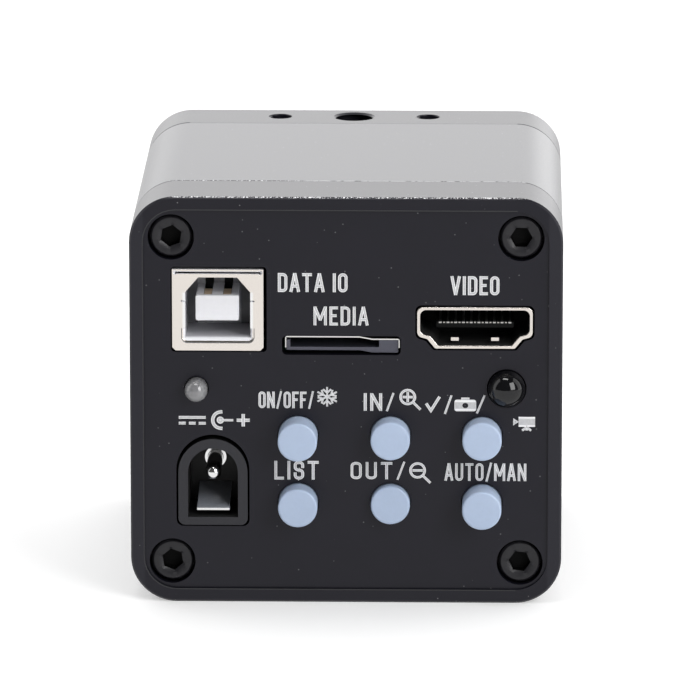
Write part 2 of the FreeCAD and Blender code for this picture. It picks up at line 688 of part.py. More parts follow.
def make_lens_ring():
    """Flanged ring with the lens thread's bore; its front face is the lens flange."""
    return turned_y(
        [
            (LENS_THREAD_RADIUS, 0),
            (LENS_RING_RADIUS - LENS_RING_CHAMFER, 0),
            (LENS_RING_RADIUS, -LENS_RING_CHAMFER),
            (LENS_RING_RADIUS, Y_FRONT),
            (LENS_RING_NECK_RADIUS, Y_FRONT),
            (LENS_RING_NECK_RADIUS, Y_FRONT - LENS_RING_SEAT_DEPTH),
            (LENS_THREAD_RADIUS, Y_FRONT - LENS_RING_SEAT_DEPTH),
        ],
        0,
        0,
    )


def make_filter_glass():
    """Round filter in the back of the front cover."""
    return rod_y(FILTER_RADIUS, 0, 0, (Y_TUBE_FRONT, Y_TUBE_FRONT + FILTER_THICKNESS))


def make_dust_gasket():
    """Square rubber frame that seals the space between the filter and the sensor board."""
    span = (Y_SENSOR_BOARD, Y_TUBE_FRONT)
    outer = centred(0, GASKET_WIDTH)
    opening = centred(0, GASKET_OPENING_WIDTH)
    frame = plate(rectangle(outer, outer, GASKET_CORNER), span)
    return frame.cut(plate(rectangle(opening, opening, GASKET_CORNER), grown(span, OVERCUT)))


def make_sensor_package():
    """Open ceramic tray that carries the sensor."""
    x = centred(0, SENSOR_WIDTH)
    z = centred(0, SENSOR_HEIGHT)
    floor = Y_SENSOR_BOARD + SENSOR_FLOOR
    front = Y_SENSOR_BOARD + SENSOR_PACKAGE_THICKNESS
    tray = box(x, (Y_SENSOR_BOARD, front), z)
    return tray.cut(box(grown(x, -SENSOR_WALL), (floor, front + OVERCUT), grown(z, -SENSOR_WALL)))


def make_sensor_die():
    """Image sensor, with its face at the flange focal distance."""
    y = (-FLANGE_TO_SENSOR - SENSOR_DIE_THICKNESS, -FLANGE_TO_SENSOR)
    return box(centred(0, SENSOR_DIE_WIDTH), y, centred(0, SENSOR_DIE_HEIGHT))


def make_sensor_window():
    """Cover glass on the sensor's tray."""
    front = Y_SENSOR_BOARD + SENSOR_PACKAGE_THICKNESS
    x = centred(0, SENSOR_WIDTH - 2 * SENSOR_WINDOW_MARGIN)
    z = centred(0, SENSOR_HEIGHT - 2 * SENSOR_WINDOW_MARGIN)
    return box(x, (front, front + SENSOR_WINDOW_THICKNESS), z)


# Boards


def make_sensor_board():
    """Board behind the sensor, screwed to the front cover's standoffs."""
    span = (Y_SENSOR_BOARD_BACK, Y_SENSOR_BOARD)
    outline = rectangle(centred(0, SENSOR_BOARD_WIDTH), centred(0, SENSOR_BOARD_HEIGHT), SENSOR_BOARD_CORNER)
    board = plate(outline, span)
    for x, z in sensor_screw_places():
        board = board.cut(rod_y(BOARD_SCREW_RADIUS + BOARD_HOLE_CLEARANCE, x, z, grown(span, OVERCUT)))
    return board


def make_main_board():
    """Level board that carries the data, video and card sockets and slides in the tube's rails."""
    half = INNER_HALF_WIDTH - BOARD_CLEARANCE
    y = (Y_MAIN_BOARD_BACK, Y_MAIN_BOARD_FRONT)
    return box((-half, half), y, (MAIN_BOARD_BOTTOM, MAIN_BOARD_TOP))


def make_key_board():
    """Upright board behind the buttons, cut in below to clear the screw columns."""
    span = (Y_KEY_BOARD, Y_KEY_BOARD_FRONT)
    half = INNER_HALF_WIDTH - KEY_BOARD_EDGE_GAP
    top = MAIN_BOARD_BOTTOM - KEY_BOARD_TOP_GAP
    foot = -INNER_HALF_HEIGHT + KEY_BOARD_FOOT_GAP
    shoulder = -BODY_HEIGHT / 2 + SCREW_INSET + SCREW_COLUMN_RADIUS + KEY_BOARD_COLUMN_GAP
    left, right = KEY_BOARD_STEM
    board = plate(
        [
            (left, foot, 0),
            (right, foot, 0),
            (right, shoulder, 0),
            (half, shoulder, 0),
            (half, top, 0),
            (-half, top, 0),
            (-half, shoulder, 0),
            (left, shoulder, 0),
        ],
        span,
    )
    for x, z in key_board_bosses():
        board = board.cut(rod_y(BOARD_SCREW_RADIUS + BOARD_HOLE_CLEARANCE, x, z, grown(span, OVERCUT)))
    return board


def board_screw(x, z, seat, way):
    """Small flat-headed screw along Y; way is the direction from its seat to its tip."""
    head_top = seat - way * BOARD_SCREW_HEAD_HEIGHT
    tip = seat + way * (BOARD_THICKNESS + BOARD_SCREW_REACH)
    profile = [
        (0, head_top),
        (BOARD_SCREW_HEAD_RADIUS, head_top),
        (BOARD_SCREW_HEAD_RADIUS, seat),
        (BOARD_SCREW_RADIUS, seat),
        (BOARD_SCREW_RADIUS, tip),
        (0, tip),
    ]
    socket = (head_top - way * OVERCUT, head_top + way * BOARD_SCREW_SLOT_DEPTH)
    return turned_y(profile, x, z).cut(hexagon_hole(BOARD_SCREW_SLOT_FLATS, x, z, socket))


def make_sensor_board_screws():
    """Four screws from behind the sensor board into the front cover."""
    return Part.Compound([board_screw(x, z, Y_SENSOR_BOARD_BACK, 1) for x, z in sensor_screw_places()])


def make_key_board_screws():
    """Screws from the lens side of the key board into the back cover's bosses."""
    return Part.Compound([board_screw(x, z, Y_KEY_BOARD_FRONT, -1) for x, z in key_board_bosses()])


def flex_stations():
    """Stations of the flex cable: its level run's ends along Y and its middle heights."""
    run_start = Y_SENSOR_BOARD_BACK - FLEX_CONNECTOR_HEIGHT
    bend_start = run_start - FLEX_RUN
    drop_y = bend_start - FLEX_BEND_RADIUS
    drop_end = MAIN_BOARD_TOP + FLEX_CONNECTOR_HEIGHT
    level = drop_end + FLEX_RUN + FLEX_BEND_RADIUS
    return run_start, bend_start, drop_y, drop_end, level


def make_flex_connectors():
    """Two low sockets that hold the ends of the flex cable."""
    run_start, _bend_start, drop_y, drop_end, level = flex_stations()
    x = centred(0, FLEX_WIDTH + 2 * FLEX_CONNECTOR_MARGIN)
    on_sensor = box(x, (run_start, Y_SENSOR_BOARD_BACK), centred(level, FLEX_CONNECTOR_DEPTH))
    on_main = box(x, centred(drop_y, FLEX_CONNECTOR_DEPTH), (MAIN_BOARD_TOP, drop_end))
    return Part.Compound([on_sensor, on_main])


def make_flex_cable():
    """Flat cable from the sensor board to the main board, with one quarter bend."""
    run_start, bend_start, drop_y, drop_end, level = flex_stations()
    x = -FLEX_WIDTH / 2
    centre = Vector(x, bend_start, level - FLEX_BEND_RADIUS)
    edges = []
    ends = []
    for radius in (FLEX_BEND_RADIUS + FLEX_THICKNESS / 2, FLEX_BEND_RADIUS - FLEX_THICKNESS / 2):
        start = Vector(x, run_start, centre.z + radius)
        bend = Vector(x, bend_start, centre.z + radius)
        diagonal = centre + Vector(0, -radius, radius) * math.sqrt(0.5)
        drop = Vector(x, bend_start - radius, centre.z)
        end = Vector(x, bend_start - radius, drop_end)
        edges += [
            Part.LineSegment(start, bend).toShape(),
            Part.Arc(bend, diagonal, drop).toShape(),
            Part.LineSegment(drop, end).toShape(),
        ]
        ends.append((start, end))
    edges += [Part.LineSegment(ends[0][side], ends[1][side]).toShape() for side in (0, 1)]
    strip = Part.Face(Part.Wire(Part.__sortEdges__(edges)))
    return strip.extrude(Vector(FLEX_WIDTH, 0, 0))


def chip_row():
    """Station along Y of the row of chips, halfway from the flex cable's connector to the data socket."""
    _run_start, _bend_start, drop_y, _drop_end, _level = flex_stations()
    return (drop_y - FLEX_CONNECTOR_DEPTH / 2 + Y_DATA + DATA_DEPTH) / 2


def make_main_processor():
    """Processor on the main board."""
    x = centred(PROCESSOR_X, PROCESSOR_SIZE)
    y = centred(chip_row(), PROCESSOR_SIZE)
    return box(x, y, (MAIN_BOARD_TOP, MAIN_BOARD_TOP + PROCESSOR_THICKNESS))


def make_memory_chips():
    """Memory chips beside the processor."""
    top = MAIN_BOARD_TOP + MEMORY_THICKNESS
    y = centred(chip_row(), MEMORY_LENGTH)
    return Part.Compound([box(centred(x, MEMORY_WIDTH), y, (MAIN_BOARD_TOP, top)) for x in MEMORY_X])


def make_board_link():
    """Plug that joins the key board to the underside of the main board."""
    y = (Y_KEY_BOARD_FRONT, Y_KEY_BOARD_FRONT + BOARD_LINK_DEPTH)
    return box(BOARD_LINK_X, y, (MAIN_BOARD_BOTTOM - BOARD_LINK_DROP, MAIN_BOARD_BOTTOM))


# Data socket


def data_opening(shrink):
    """Outline of the data socket's mouth: clipped top corners, straight sides, square foot."""
    half = DATA_OPENING_WIDTH / 2 - shrink
    top = DATA_TOP - DATA_OPENING_TOP_GAP - shrink
    bottom = DATA_BOTTOM + DATA_OPENING_BOTTOM_GAP + shrink
    corner = [(half, top - DATA_OPENING_CLIP_HEIGHT, 0), (half - DATA_OPENING_CLIP_WIDTH, top, 0)]
    right = [(half, bottom, 0)] + corner
    left = [(-x, z, radius) for x, z, radius in reversed(right)]
    return [(DATA_X + x, z, radius) for x, z, radius in right + left]


def data_lip(spread, margin=0.0):
    """Outline at the foot of the data socket's mouth, at a share of the lip's spread, grown by a margin."""
    floor = DATA_BOTTOM + DATA_OPENING_BOTTOM_GAP
    low = floor - spread * DATA_LIP_BEND - margin
    high = floor - DATA_LIP_BEND + DATA_LIP_HEIGHT
    left, right = grown(centred(DATA_X, DATA_OPENING_WIDTH), spread * DATA_LIP_FLARE + margin)
    corner = DATA_LIP_INNER_CORNER + spread * (DATA_LIP_OUTER_CORNER - DATA_LIP_INNER_CORNER)
    return [(left, low, corner), (right, low, corner), (right, high, 0), (left, high, 0)]


def data_lip_bend():
    """Tool that leaves the foot of the data socket's mouth bent outwards in a quarter round."""
    sections = []
    for index in range(DATA_LIP_STATIONS):
        turn = math.pi / 2 * index / (DATA_LIP_STATIONS - 1)
        station = Y_DATA + DATA_LIP_BEND * (1 - math.cos(turn))
        sections.append(outline_face(data_lip(1 - math.sin(turn)), station).OuterWire)
    return Part.makeLoft(sections, True, True)


def make_data_port_shell():
    """Folded steel box with a front plate parted from the top sheet, and a sleeve that guides the plug."""
    back = Y_DATA + DATA_DEPTH
    left, right = centred(DATA_X, DATA_WIDTH)
    clip = DATA_FOOT_CHAMFER
    outline = [
        (left + clip, DATA_BOTTOM, 0),
        (right - clip, DATA_BOTTOM, 0),
        (right, DATA_BOTTOM + clip, 0),
        (right, DATA_TOP, 0),
        (left, DATA_TOP, 0),
        (left, DATA_BOTTOM + clip, 0),
    ]
    shell = plate(outline, (Y_DATA, back))
    hollow_y = (Y_DATA + DATA_SHEET, back + OVERCUT)
    hollow_z = grown((DATA_BOTTOM, DATA_TOP), -DATA_SHEET)
    shell = shell.cut(box(grown((left, right), -DATA_SHEET), hollow_y, hollow_z))
    sleeve_end = Y_DATA + DATA_SLEEVE_DEPTH
    mouth = plate(data_opening(0), (Y_DATA - OVERCUT, sleeve_end + OVERCUT))
    sleeve = plate(data_opening(-DATA_SHEET), (Y_DATA + DATA_SHEET, sleeve_end))
    front_plate = (Y_DATA - OVERCUT, Y_DATA + DATA_SHEET)
    slit = plate(data_lip(1, DATA_LIP_SLIT), front_plate).cut(plate(data_lip(1), grown(front_plate, OVERCUT)))
    shell = shell.fuse(sleeve).cut(mouth).cut(data_lip_bend()).cut(slit)
    fold_z = (DATA_TOP - DATA_FOLD_DROP - DATA_FOLD_HEIGHT, DATA_TOP - DATA_FOLD_DROP)
    fold_x = grown((left, right), -DATA_FOLD_INSET)
    shell = shell.cut(box(fold_x, front_plate, fold_z))
    for x in fold_x:
        shell = shell.cut(rod_y(DATA_RELIEF_RADIUS, x, sum(fold_z) / 2, front_plate))
    seam_z = centred(DATA_TOP - DATA_SEAM_DROP, DATA_SEAM_HEIGHT)
    for side in (-1, 1):
        edge = DATA_X + side * DATA_OPENING_WIDTH / 2
        seam_x = (edge - side * DATA_SHEET, edge + side * DATA_SEAM_LENGTH)
        shell = shell.cut(box(seam_x, front_plate, seam_z))
    return shell.removeSplitter()


def data_tongue():
    """Ranges x and z of the data socket's tongue."""
    low = DATA_BOTTOM + DATA_TONGUE_BOTTOM
    return centred(DATA_TONGUE_X, DATA_TONGUE_WIDTH), (low, low + DATA_TONGUE_HEIGHT)


def data_contact_stations():
    """Stations along Y of an upper contact: its tip, where it starts to dip and where it runs level again."""
    tip = Y_DATA + DATA_TONGUE_SETBACK + DATA_CONTACT_SETBACK
    bend = tip + DATA_CONTACT_FLAT
    return tip, bend, bend + DATA_CONTACT_SLOPE_LENGTH


def data_contact_columns(clearance):
    """Ranges x of the two columns of contacts, grown by a clearance."""
    centres = [DATA_TONGUE_X + side * DATA_CONTACT_PITCH / 2 for side in (-1, 1)]
    return [grown(centred(centre, DATA_CONTACT_WIDTH), clearance) for centre in centres]


def data_contact_strips(clearance):
    """Flat strips in the tongue's lower face and dipping strips in its upper face, grown by a clearance."""
    _x, (low, high) = data_tongue()
    tip, bend, dipped = data_contact_stations()
    tip -= clearance
    back = Y_DATA + DATA_DEPTH
    top = high + clearance
    under = high - DATA_CONTACT_THICKNESS - clearance
    upper = [
        (tip, under),
        (bend, under),
        (dipped, under - DATA_CONTACT_DIP),
        (back, under - DATA_CONTACT_DIP),
        (back, top - DATA_CONTACT_DIP),
        (dipped, top - DATA_CONTACT_DIP),
        (bend, top),
        (tip, top),
    ]
    strips = []
    for x in data_contact_columns(clearance):
        strips.append(side_profile(upper, x))
        strips.append(box(x, (tip, back), (low - clearance, low + DATA_CONTACT_THICKNESS + clearance)))
    return strips


def data_contact_pits(end):
    """Tools that open the tongue's upper face above the dipping strips, as far as the station end."""
    _x, (_low, high) = data_tongue()
    _tip, bend, dipped = data_contact_stations()
    top = high + THREAD_CLEARANCE
    bottom = high - DATA_CONTACT_DIP
    profile = [(bend, high), (dipped, bottom), (end, bottom), (end, top), (bend, top)]
    return [side_profile(profile, x) for x in data_contact_columns(THREAD_CLEARANCE)]


def make_data_port_contacts():
    """Four contact strips of the data socket."""
    return Part.Compound(data_contact_strips(0))


def make_data_port_insulator():
    """Moulded block at the back of the data socket, with the tongue that stands forward from it."""
    x, z = data_tongue()
    block_y = (Y_DATA + DATA_SLEEVE_DEPTH + THREAD_CLEARANCE, Y_DATA + DATA_DEPTH)
    block_x = grown(centred(DATA_X, DATA_WIDTH), -DATA_SHEET - THREAD_CLEARANCE)
    block_z = grown((DATA_BOTTOM, DATA_TOP), -DATA_SHEET - THREAD_CLEARANCE)
    tongue_y = (Y_DATA + DATA_TONGUE_SETBACK, block_y[0] + WALL)
    insulator = box(block_x, block_y, block_z).fuse(plate(rectangle(x, z, DATA_TONGUE_CORNER), tongue_y))
    for slot in data_contact_strips(THREAD_CLEARANCE) + data_contact_pits(block_y[0]):
        insulator = insulator.cut(slot)
    return insulator.removeSplitter()


# Video socket


def make_video_port_shell():
    """Shaped steel tube with two spring tabs that rise from its floor."""
    span = (Y_VIDEO, Y_VIDEO + VIDEO_DEPTH)
    shell = plate(video_outline(0), span).cut(plate(video_outline(-VIDEO_SHEET), grown(span, OVERCUT)))
    floor = VIDEO_BOTTOM + VIDEO_SHEET
    start = Y_VIDEO + VIDEO_TAB_SETBACK
    for side in (-1, 1):
        x = centred(VIDEO_X + side * VIDEO_TAB_OFFSET, VIDEO_TAB_WIDTH)
        tab = side_profile(
            [
                (start, floor + VIDEO_TAB_HEIGHT - VIDEO_TAB_THICKNESS),
                (start + VIDEO_TAB_LENGTH, floor - VIDEO_TAB_THICKNESS),
                (start + VIDEO_TAB_LENGTH, floor),
                (start, floor + VIDEO_TAB_HEIGHT),
            ],
            x,
        )
        shell = shell.fuse(tab)
    return shell.removeSplitter()


def video_tongue():
    """Ranges x, y and z of the video socket's tongue."""
    middle = VIDEO_TOP - VIDEO_TONGUE_DROP
    y = (Y_VIDEO + VIDEO_TONGUE_SETBACK, Y_VIDEO + VIDEO_DEPTH)
    return centred(VIDEO_X, VIDEO_TONGUE_WIDTH), y, centred(middle, VIDEO_TONGUE_THICKNESS)


def video_contact_boxes(clearance):
    """Contact strips in the tongue's two faces, the lower row set back and aside, grown by a clearance."""
    _x, (front, back), (low, high) = video_tongue()
    depth = VIDEO_CONTACT_THICKNESS + clearance
    rows = [
        (VIDEO_UPPER_CONTACTS, front, (high - depth, high + clearance)),
        (VIDEO_LOWER_CONTACTS, front + VIDEO_LOWER_CONTACT_SETBACK, (low - clearance, low + depth)),
    ]
    strips = []
    for count, start, z in rows:
        y = (start - clearance, back + clearance)
        for index in range(count):
            x = VIDEO_X + (index - (count - 1) / 2) * VIDEO_CONTACT_PITCH
            strips.append(box(grown(centred(x, VIDEO_CONTACT_WIDTH), clearance), y, z))
    return strips


def make_video_port_contacts():
    """Both rows of contact strips of the video socket."""
    return Part.Compound(video_contact_boxes(0))


def make_video_port_insulator():
    """Moulded block at the back of the video socket, with its flat tongue."""
    x, y, z = video_tongue()
    block_y = (Y_VIDEO + VIDEO_DEPTH - VIDEO_BLOCK_DEPTH, Y_VIDEO + VIDEO_DEPTH)
    block = plate(video_outline(-VIDEO_SHEET - THREAD_CLEARANCE), block_y)
    insulator = block.fuse(box(x, y, z))
    for slot in video_contact_boxes(THREAD_CLEARANCE):
        insulator = insulator.cut(slot)
    return insulator.removeSplitter()


# Memory card slot


def card_spans():
    """Ranges x, y and z of the card slot's plastic housing, inside its sheet metal cover."""
    x = grown(centred(CARD_X, CARD_WIDTH), -CARD_SHEET)
    return x, (Y_CARD, Y_CARD + CARD_DEPTH), (CARD_BOTTOM, CARD_TOP - CARD_SHEET - CARD_STEP)


def card_mouth():
    """Range x and floor height of the mouth that takes the card."""
    x, _y, _z = card_spans()
    left = x[0] + CARD_SIDE_WALL
    return (left, left + CARD_OPENING_WIDTH), CARD_BOTTOM + CARD_FLOOR


def card_step_stations():
    """Ends along X of the slope between the card slot's high side and its low side."""
    low_x = CARD_X + CARD_WIDTH / 2 - CARD_STEP_WIDTH
    return low_x - CARD_STEP_SLOPE, low_x


def card_cover_outline(x, bottom, top, corner):
    """Outline of the card slot's cover: a flat foot and a top that slopes down at one side."""
    slope_x, low_x = card_step_stations()
    return [
        (x[0], bottom, 0),
        (x[1], bottom, 0),
        (x[1], top - CARD_STEP, corner),
        (low_x, top - CARD_STEP, 0),
        (slope_x, top, 0),
        (x[0], top, corner),
    ]


def card_contact_boxes(clearance):
    """Eight contact strips let into the floor of the card's mouth, grown by a clearance."""
    (left, right), floor = card_mouth()
    end = Y_CARD + CARD_OPENING_DEPTH
    strips = []
    for index in range(CARD_CONTACTS):
        x = (left + right) / 2 + (index - (CARD_CONTACTS - 1) / 2) * CARD_CONTACT_PITCH
        y = grown((end - CARD_CONTACT_LENGTH, end), clearance)
        z = (floor - CARD_CONTACT_THICKNESS - clearance, floor + clearance)
        strips.append(box(grown(centred(x, CARD_CONTACT_WIDTH), clearance), y, z))
    return strips


def make_card_slot_contacts():
    """Contact strips of the card slot."""
    return Part.Compound(card_contact_boxes(0))


def make_card_slot_housing():
    """Low moulded tray with the card's mouth at one side and a nose at the other that hangs lower."""
    x, y, z = card_spans()
    mouth_x, floor = card_mouth()
    mouth_y = (Y_CARD - OVERCUT, Y_CARD + CARD_OPENING_DEPTH)
    slope_x, low_x = card_step_stations()
    underside = z[0] - CARD_NOSE_DROP
    nose = [
        (slope_x, z[0], 0),
        (low_x, underside, 0),
        (x[1], underside, 0),
        (x[1], z[1], 0),
        (slope_x, z[1], 0),
    ]
    nose_y = (Y_CARD, Y_MAIN_BOARD_BACK - CARD_NOSE_GAP)
    housing = box(x, y, z).fuse(plate(nose, nose_y)).cut(box(mouth_x, mouth_y, (floor, z[1] + OVERCUT)))
    for slot in card_contact_boxes(THREAD_CLEARANCE):
        housing = housing.cut(slot)
    return housing.removeSplitter()


def make_card_slot_shell():
    """Sheet metal cover over the top and sides of the card slot, sloping down to the block's side."""
    x, y, _z = card_spans()
    foot = CARD_BOTTOM + CARD_COVER_LIFT
    outer = card_cover_outline(grown(x, CARD_SHEET), foot, CARD_TOP, CARD_COVER_CORNER)
    inner = card_cover_outline(grown(x, THREAD_CLEARANCE), foot - OVERCUT, CARD_TOP - CARD_SHEET, 0)
    return plate(outer, y).cut(plate(inner, grown(y, OVERCUT)))


# Power jack


def jack_cavity():
    """Tool for the inside of the power jack."""
    half = JACK_WIDTH / 2 - JACK_SIDE_WALL
    crown = JACK_TOP - JACK_SIDE_WALL
    floor = JACK_BOTTOM + JACK_FLOOR_WALL
    outline = [
        (JACK_X - half, floor, 0),
        (JACK_X + half, floor, 0),
        (JACK_X + half, crown, half - ROUND_SLACK),
        (JACK_X - half, crown, half - ROUND_SLACK),
    ]
    return plate(outline, (Y_FACE - OVERCUT, Y_FACE + JACK_CAVITY_DEPTH))


def make_power_jack_body():
    """Moulded jack body, bored at the back for the centre pin."""
    body = plate(jack_outline(0, 0, 0, JACK_FOOT_CORNER), (Y_FACE, Y_FACE + JACK_DEPTH)).cut(jack_cavity())
    bore = rod_y(
        JACK_PIN_RADIUS + THREAD_CLEARANCE, JACK_X, JACK_PIN_Z, (Y_FACE, Y_FACE + JACK_DEPTH + OVERCUT)
    )
    return body.cut(bore)


def make_power_jack_pin():
    """Centre pin with a rounded tip and a collar against the back of the cavity."""
    tip = Y_FACE + JACK_PIN_SETBACK
    collar_back = Y_FACE + JACK_CAVITY_DEPTH
    collar_front = collar_back - JACK_COLLAR_LENGTH
    shaft = rod_y(JACK_PIN_RADIUS, JACK_X, JACK_PIN_Z, (tip + JACK_PIN_RADIUS, Y_FACE + JACK_DEPTH))
    nose_centre = Vector(JACK_X, tip + JACK_PIN_RADIUS, JACK_PIN_Z)
    nose = Part.makeSphere(JACK_PIN_RADIUS, nose_centre, ALONG_Y, -90, 0)
    collar = rod_y(JACK_COLLAR_RADIUS, JACK_X, JACK_PIN_Z, (collar_front, collar_back))
    return shaft.fuse(nose).fuse(collar).removeSplitter()


def make_power_jack_spring():
    """Leaf spring that stands out from the cavity's rear wall and falls towards the front."""
    front = Y_FACE + JACK_SPRING_SETBACK
    back = Y_FACE + JACK_CAVITY_DEPTH
    low = JACK_BOTTOM + JACK_FLOOR_WALL + JACK_SPRING_FRONT_LIFT
    high = low + JACK_SPRING_RISE
    thickness = JACK_SPRING_THICKNESS
    return side_profile(
        [(front, low), (back, high), (back, high + thickness), (front, low + thickness)],
        centred(JACK_X, JACK_SPRING_WIDTH),
    )


# Push buttons


def make_button_cap(name, x, z):
    """Round cap with a softened face, bored from behind for the switch's stem."""
    face = Y_FACE - BUTTON_PROUD[name]
    cap = rod_y(BUTTON_RADIUS, x, z, (face, face + BUTTON_LENGTH))
    cap = cap.makeFillet(BUTTON_EDGE_RADIUS, edges_on_plane_y(cap, face))
    bore = (face + BUTTON_FACE_THICKNESS, face + BUTTON_LENGTH + OVERCUT)
    return cap.cut(rod_y(STEM_RADIUS + STEM_FIT, x, z, bore))


def switch_top():
    """Station of the face of a switch that its stem comes out of."""
    return Y_KEY_BOARD - SWITCH_HEIGHT


def make_button_stem(x, z):
    """Stem of a tactile switch, from its well in the switch to inside the cap."""
    foot = switch_top() + SWITCH_WELL_DEPTH - BUTTON_TRAVEL - STEM_STOP_GAP
    return rod_y(STEM_RADIUS, x, z, (Y_FACE + STEM_END_DEPTH, foot))


def make_switch_base(x, z):
    """Body of a tactile switch on the key board, with the well that its stem moves in."""
    outline = rectangle(centred(x, SWITCH_SIZE), centred(z, SWITCH_SIZE), SWITCH_CORNER)
    body = plate(outline, (switch_top(), Y_KEY_BOARD))
    well = (switch_top() - OVERCUT, switch_top() + SWITCH_WELL_DEPTH)
    return body.cut(rod_y(STEM_RADIUS + SWITCH_WELL_CLEARANCE, x, z, well))


# Indicators


def lamp_body(radius, x, z, tip, flange_radius, flange):
    """Round lamp with a domed tip and a flange over the range flange."""
    centre = tip + radius
    dome = Part.makeSphere(radius, Vector(x, centre, z), ALONG_Y, -90, 0)
    barrel = rod_y(radius, x, z, (centre, flange[1]))
    return dome.fuse(barrel).fuse(rod_y(flange_radius, x, z, flange)).removeSplitter()


def lamp_leads(x, z, offsets, start):
    """Square wire leads from a lamp's flange to the key board."""
    span = (start, Y_KEY_BOARD)
    section = centred(z, LEAD_SIZE)
    return Part.Compound([box(centred(x + offset, LEAD_SIZE), span, section) for offset in offsets])


def led_flange():
    """Range y of the indicator light's flange, just behind the panel."""
    start = Y_PANEL_IN + LED_SEAT_GAP
    return (start, start + LED_FLANGE_THICKNESS)


def receiver_flange():
    """Range y of the remote receiver's flange, behind the panel."""
    start = Y_PANEL_IN + RECEIVER_SEAT_GAP
    return (start, start + RECEIVER_FLANGE_THICKNESS)


def make_status_led():
    """Indicator light in the panel."""
    return lamp_body(LED_RADIUS, LED_X, LED_HEIGHT, Y_FACE - LED_PROUD, LED_FLANGE_RADIUS, led_flange())


def make_status_led_leads():
    """Two leads of the indicator light."""
    return lamp_leads(LED_X, LED_HEIGHT, LED_LEADS, led_flange()[1])


def make_remote_receiver():
    """Dark dome that receives the remote control's signal."""
    tip = Y_FACE - RECEIVER_PROUD
    return lamp_body(
        RECEIVER_RADIUS, RECEIVER_X, RECEIVER_HEIGHT, tip, RECEIVER_FLANGE_RADIUS, receiver_flange()
    )


def make_remote_receiver_leads():
    """Three leads of the remote receiver."""
    return lamp_leads(RECEIVER_X, RECEIVER_HEIGHT, RECEIVER_LEADS, receiver_flange()[1])


def build_parts():
    """Every piece of the camera by its node name."""
    parts = {
        "body_tube": make_body_tube(),
        "back_cover": make_back_cover(),
        "front_cover": make_front_cover(),
        "back_cover_screws": make_back_cover_screws(),
        "front_cover_screws": make_front_cover_screws(),
        "lens_ring": make_lens_ring(),
        "filter_glass": make_filter_glass(),
        "dust_gasket": make_dust_gasket(),
        "sensor_package": make_sensor_package(),
        "sensor_die": make_sensor_die(),
        "sensor_window": make_sensor_window(),
        "sensor_board": make_sensor_board(),
        "sensor_board_screws": make_sensor_board_screws(),
        "main_board": make_main_board(),
        "main_processor": make_main_processor(),
        "memory_chips": make_memory_chips(),
        "flex_connectors": make_flex_connectors(),
        "flex_cable": make_flex_cable(),
        "board_link": make_board_link(),
        "key_board": make_key_board(),
        "key_board_screws": make_key_board_screws(),
        "data_port_shell": make_data_port_shell(),
        "data_port_insulator": make_data_port_insulator(),
        "data_port_contacts": make_data_port_contacts(),
        "video_port_shell": make_video_port_shell(),
        "video_port_insulator": make_video_port_insulator(),
        "video_port_contacts": make_video_port_contacts(),
        "card_slot_shell": make_card_slot_shell(),
        "card_slot_housing": make_card_slot_housing(),
        "card_slot_contacts": make_card_slot_contacts(),
        "power_jack_body": make_power_jack_body(),
        "power_jack_pin": make_power_jack_pin(),
        "power_jack_spring": make_power_jack_spring(),
        "status_led": make_status_led(),
        "status_led_leads": make_status_led_leads(),
        "remote_receiver": make_remote_receiver(),
        "remote_receiver_leads": make_remote_receiver_leads(),
    }
    for name, x, z in button_places():
        parts[f"{name}_button_cap"] = make_button_cap(name, x, z)
        parts[f"{name}_button_stem"] = make_button_stem(x, z)
        parts[f"{name}_switch_base"] = make_switch_base(x, z)
    return parts


def main():
    """Write each piece to its own STEP file."""
    os.makedirs("parts", exist_ok=True)
    for name, shape in build_parts().items():
        shape.exportStep(os.path.join("parts", f"{name}.step"))


main()
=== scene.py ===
"""Looks of the microscope camera: finishes, softened edges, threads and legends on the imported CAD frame.

Lengths in the dataclasses are millimetres in the part's frame; meshes are made in metres. The panel with the
sockets and buttons faces -Y, +Z is up, and the lens mount faces +Y.
"""

import json
import logging
import math
from collections.abc import Iterable, Sequence
from dataclasses import dataclass
from enum import Enum

import bmesh
import bpy
from mathutils import Matrix, Vector

